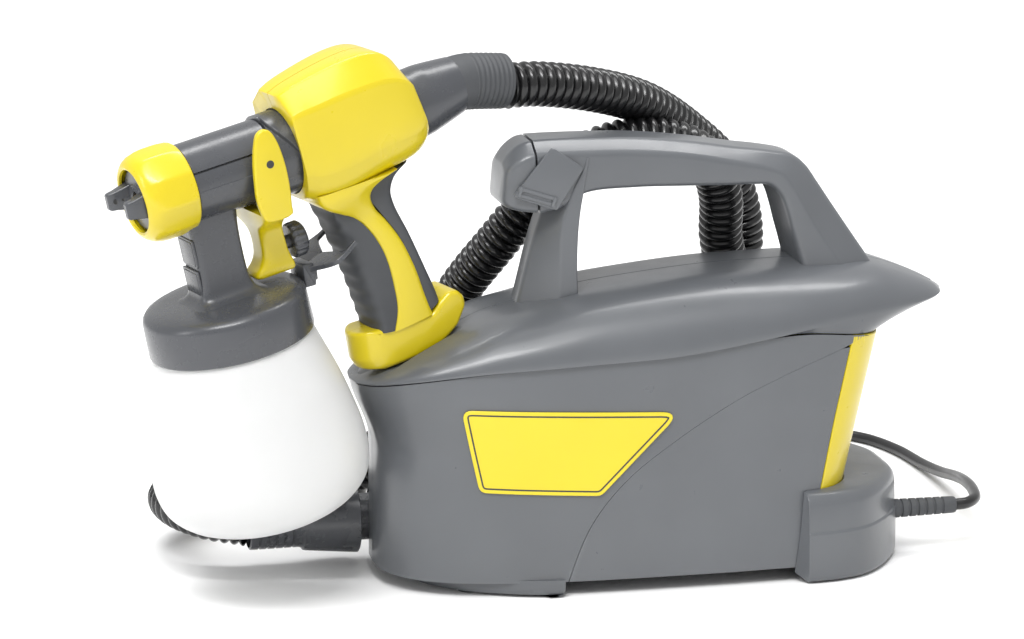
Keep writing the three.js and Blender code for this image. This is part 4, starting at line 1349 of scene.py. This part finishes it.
def strip(side):
    """The yellow spine of the hand grip between its soft pads, and the foot under it."""
    front = spaced(catmull(FRONT_EDGE[::-1], 8), 60)
    rear = spaced(catmull(REAR_EDGE, 8), 60)
    rings = []
    for (fx, fz), (rx, rz) in zip(front, rear):
        z = (fz + rz) / 2
        flare = smoothstep(-52, -27, z)
        w = HANDLE_W + 0.9 + 6.6 * flare
        x0, x1 = fx - 1, rx + 1
        outline = [
            (x0, 0.15), (x0, w - 3), (x0 + 1, w - 0.9), (x0 + 3, w), ((x0 + x1) / 2, w + 0.35),
            (x1 - 3, w), (x1 - 1, w - 0.9), (x1, w - 3), (x1, 0.15),
        ]
        slope = (rz - fz) / max(rx - fx, 1)
        rings.append([(x, side * y, fz + (x - fx) * slope) for x, y in outline])
    shape = Build().rings(rings)
    heel = spaced(rounded(FOOT, [2, 4, 4, 5, 10, 12, 8, 6, 3, 3, 3, 6, 3], 4), 120, True)
    n = outward(heel)
    levels = [(0, y) for y in np.linspace(0.15, HANDLE_W - 3, 8)]
    turns = np.linspace(0.25, math.pi / 2, 6)
    levels += [(3 * (1 - math.cos(t)), HANDLE_W - 3 + 3 * math.sin(t)) for t in turns]
    rings = []
    for d, y in levels:
        back = TOE_R - math.sqrt(TOE_R ** 2 - min(y, TOE_R - 0.4) ** 2)
        edge = heel - n * d
        pushed = back * smoothstep(92, 68, heel[:, 0])
        rings.append([(a + more, side * y, b) for (a, b), more in zip(edge, pushed)])
    shape.rings(rings)
    return shape


def soft_grip(name, outer, inner, w, ribs, depth, node):
    """A soft pad on the grip: outer is its free edge, inner its edge on the spine."""
    count = 140
    free = spaced(catmull(outer, 8), count)
    held = spaced(catmull(inner, 8), count)
    rings = []
    for t, (ox, oz), (ix, iz) in zip(np.arange(count) / (count - 1), free, held):
        fade = smoothstep(0.0, 0.08, t) * smoothstep(1, 0.92, t)
        wave = depth * (0.5 - 0.5 * math.cos(2 * math.pi * ribs * t)) * fade
        reach = np.array([ix - ox, iz - oz])
        length = np.linalg.norm(reach)
        reach = reach / length
        section = []
        for a in np.linspace(-math.pi / 2, math.pi / 2, 15):
            u = (1 - math.cos(a) ** 0.75) * min(length * 0.55, 13)
            if abs(a) < 1.55:
                u += wave * math.cos(a) ** 0.5
            section.append((u, w * math.copysign(abs(math.sin(a)) ** 0.7, a)))
        section = [(length, -w * 0.98), *section, (length, w * 0.98)]
        rings.append([(ox + reach[0] * u, y, oz + reach[1] * u) for u, y in section])
    on_gun(name, Build().rings(rings), "rubber", [node], 55)


def hand_grip():
    for side, name in ((-1, "right"), (1, "left")):
        on_gun(f"shell_{name}_half", shell(side), "yellow_plastic", [f"gun_shell_{name}"], 60)
        spine = on_gun(f"spine_{name}_half", strip(side), "yellow_plastic", flat=60)
        soften(spine, 0.5, 2, 60)
    front = [(60.4, -35.6), (61.6, -46), (64, -59), (67, -74), (70, -91), (72, -105), (74.4, -118.4)]
    back = [
        (58, -35.8), (66, -40.6), (75, -47.2), (83, -59.2), (88, -74), (89.3, -94), (88.4, -107.6),
        (84, -119.6),
    ]
    soft_grip("grip_front_pad", front, back, HANDLE_W + 1.2, 9, 0.9, "front_grip")
    rear_outer = [
        (118, -26.2), (109, -31), (103.6, -38), (103.2, -47), (108, -66), (113, -87), (117, -104),
        (118, -110.6),
    ]
    rear_inner = [
        (88.5, -29), (86, -33), (86.6, -39), (91, -48), (100, -67), (105, -87), (107.6, -105),
        (109.4, -115.8),
    ]
    soft_grip("grip_rear_pad", rear_outer, rear_inner, HANDLE_W - 0.6, 0, 0, "rear_grip")


hand_grip()


# ---------------------------------------------------------------- gun: air inlet
def air_inlet():
    profile = [
        (122, 20.6), (128, 20.8), (137, 20.6), (141, 20.1), (150, 18.6), (156.5, 17.4), (159.5, 16.8),
    ]
    rings = []
    for x, r in catmull(profile, 5):
        z = 2 + max(0, x - 132) * 0.1
        rings.append([hoop(x, r, a, z) for a in around(72)])
    on_gun("inlet_adaptor", Build().rings(rings), "dark_plastic", ["hose_adaptor"])
    count = 80
    line = spaced(catmull([(158, 0, 4.9), (166, 0, 4.6), (178, 0, 1.4), (191.6, 0, -2.8)], 20), count)
    radii = []
    for t in np.arange(count) / (count - 1):
        r = 16.4 - 0.35 * t
        if 0.3 < t < 0.93:
            r += 0.28 * math.cos((t - 0.3) / 0.63 * 2 * math.pi * 7)
        if t < 0.02 or t > 0.98:
            r -= 0.8
        radii.append(r)
    on_gun("inlet_cuff", Build().swept(line, radii, 64), "rubber", ["hose_cuff"])


air_inlet()

# ---------------------------------------------------------------- looks of the CAD nodes themselves
for part in frame["record"]["subparts"]:
    node = frame["nodes"][part["node"]]
    node.data.materials.clear()
    node.data.materials.append(M[part["material_slot"]])
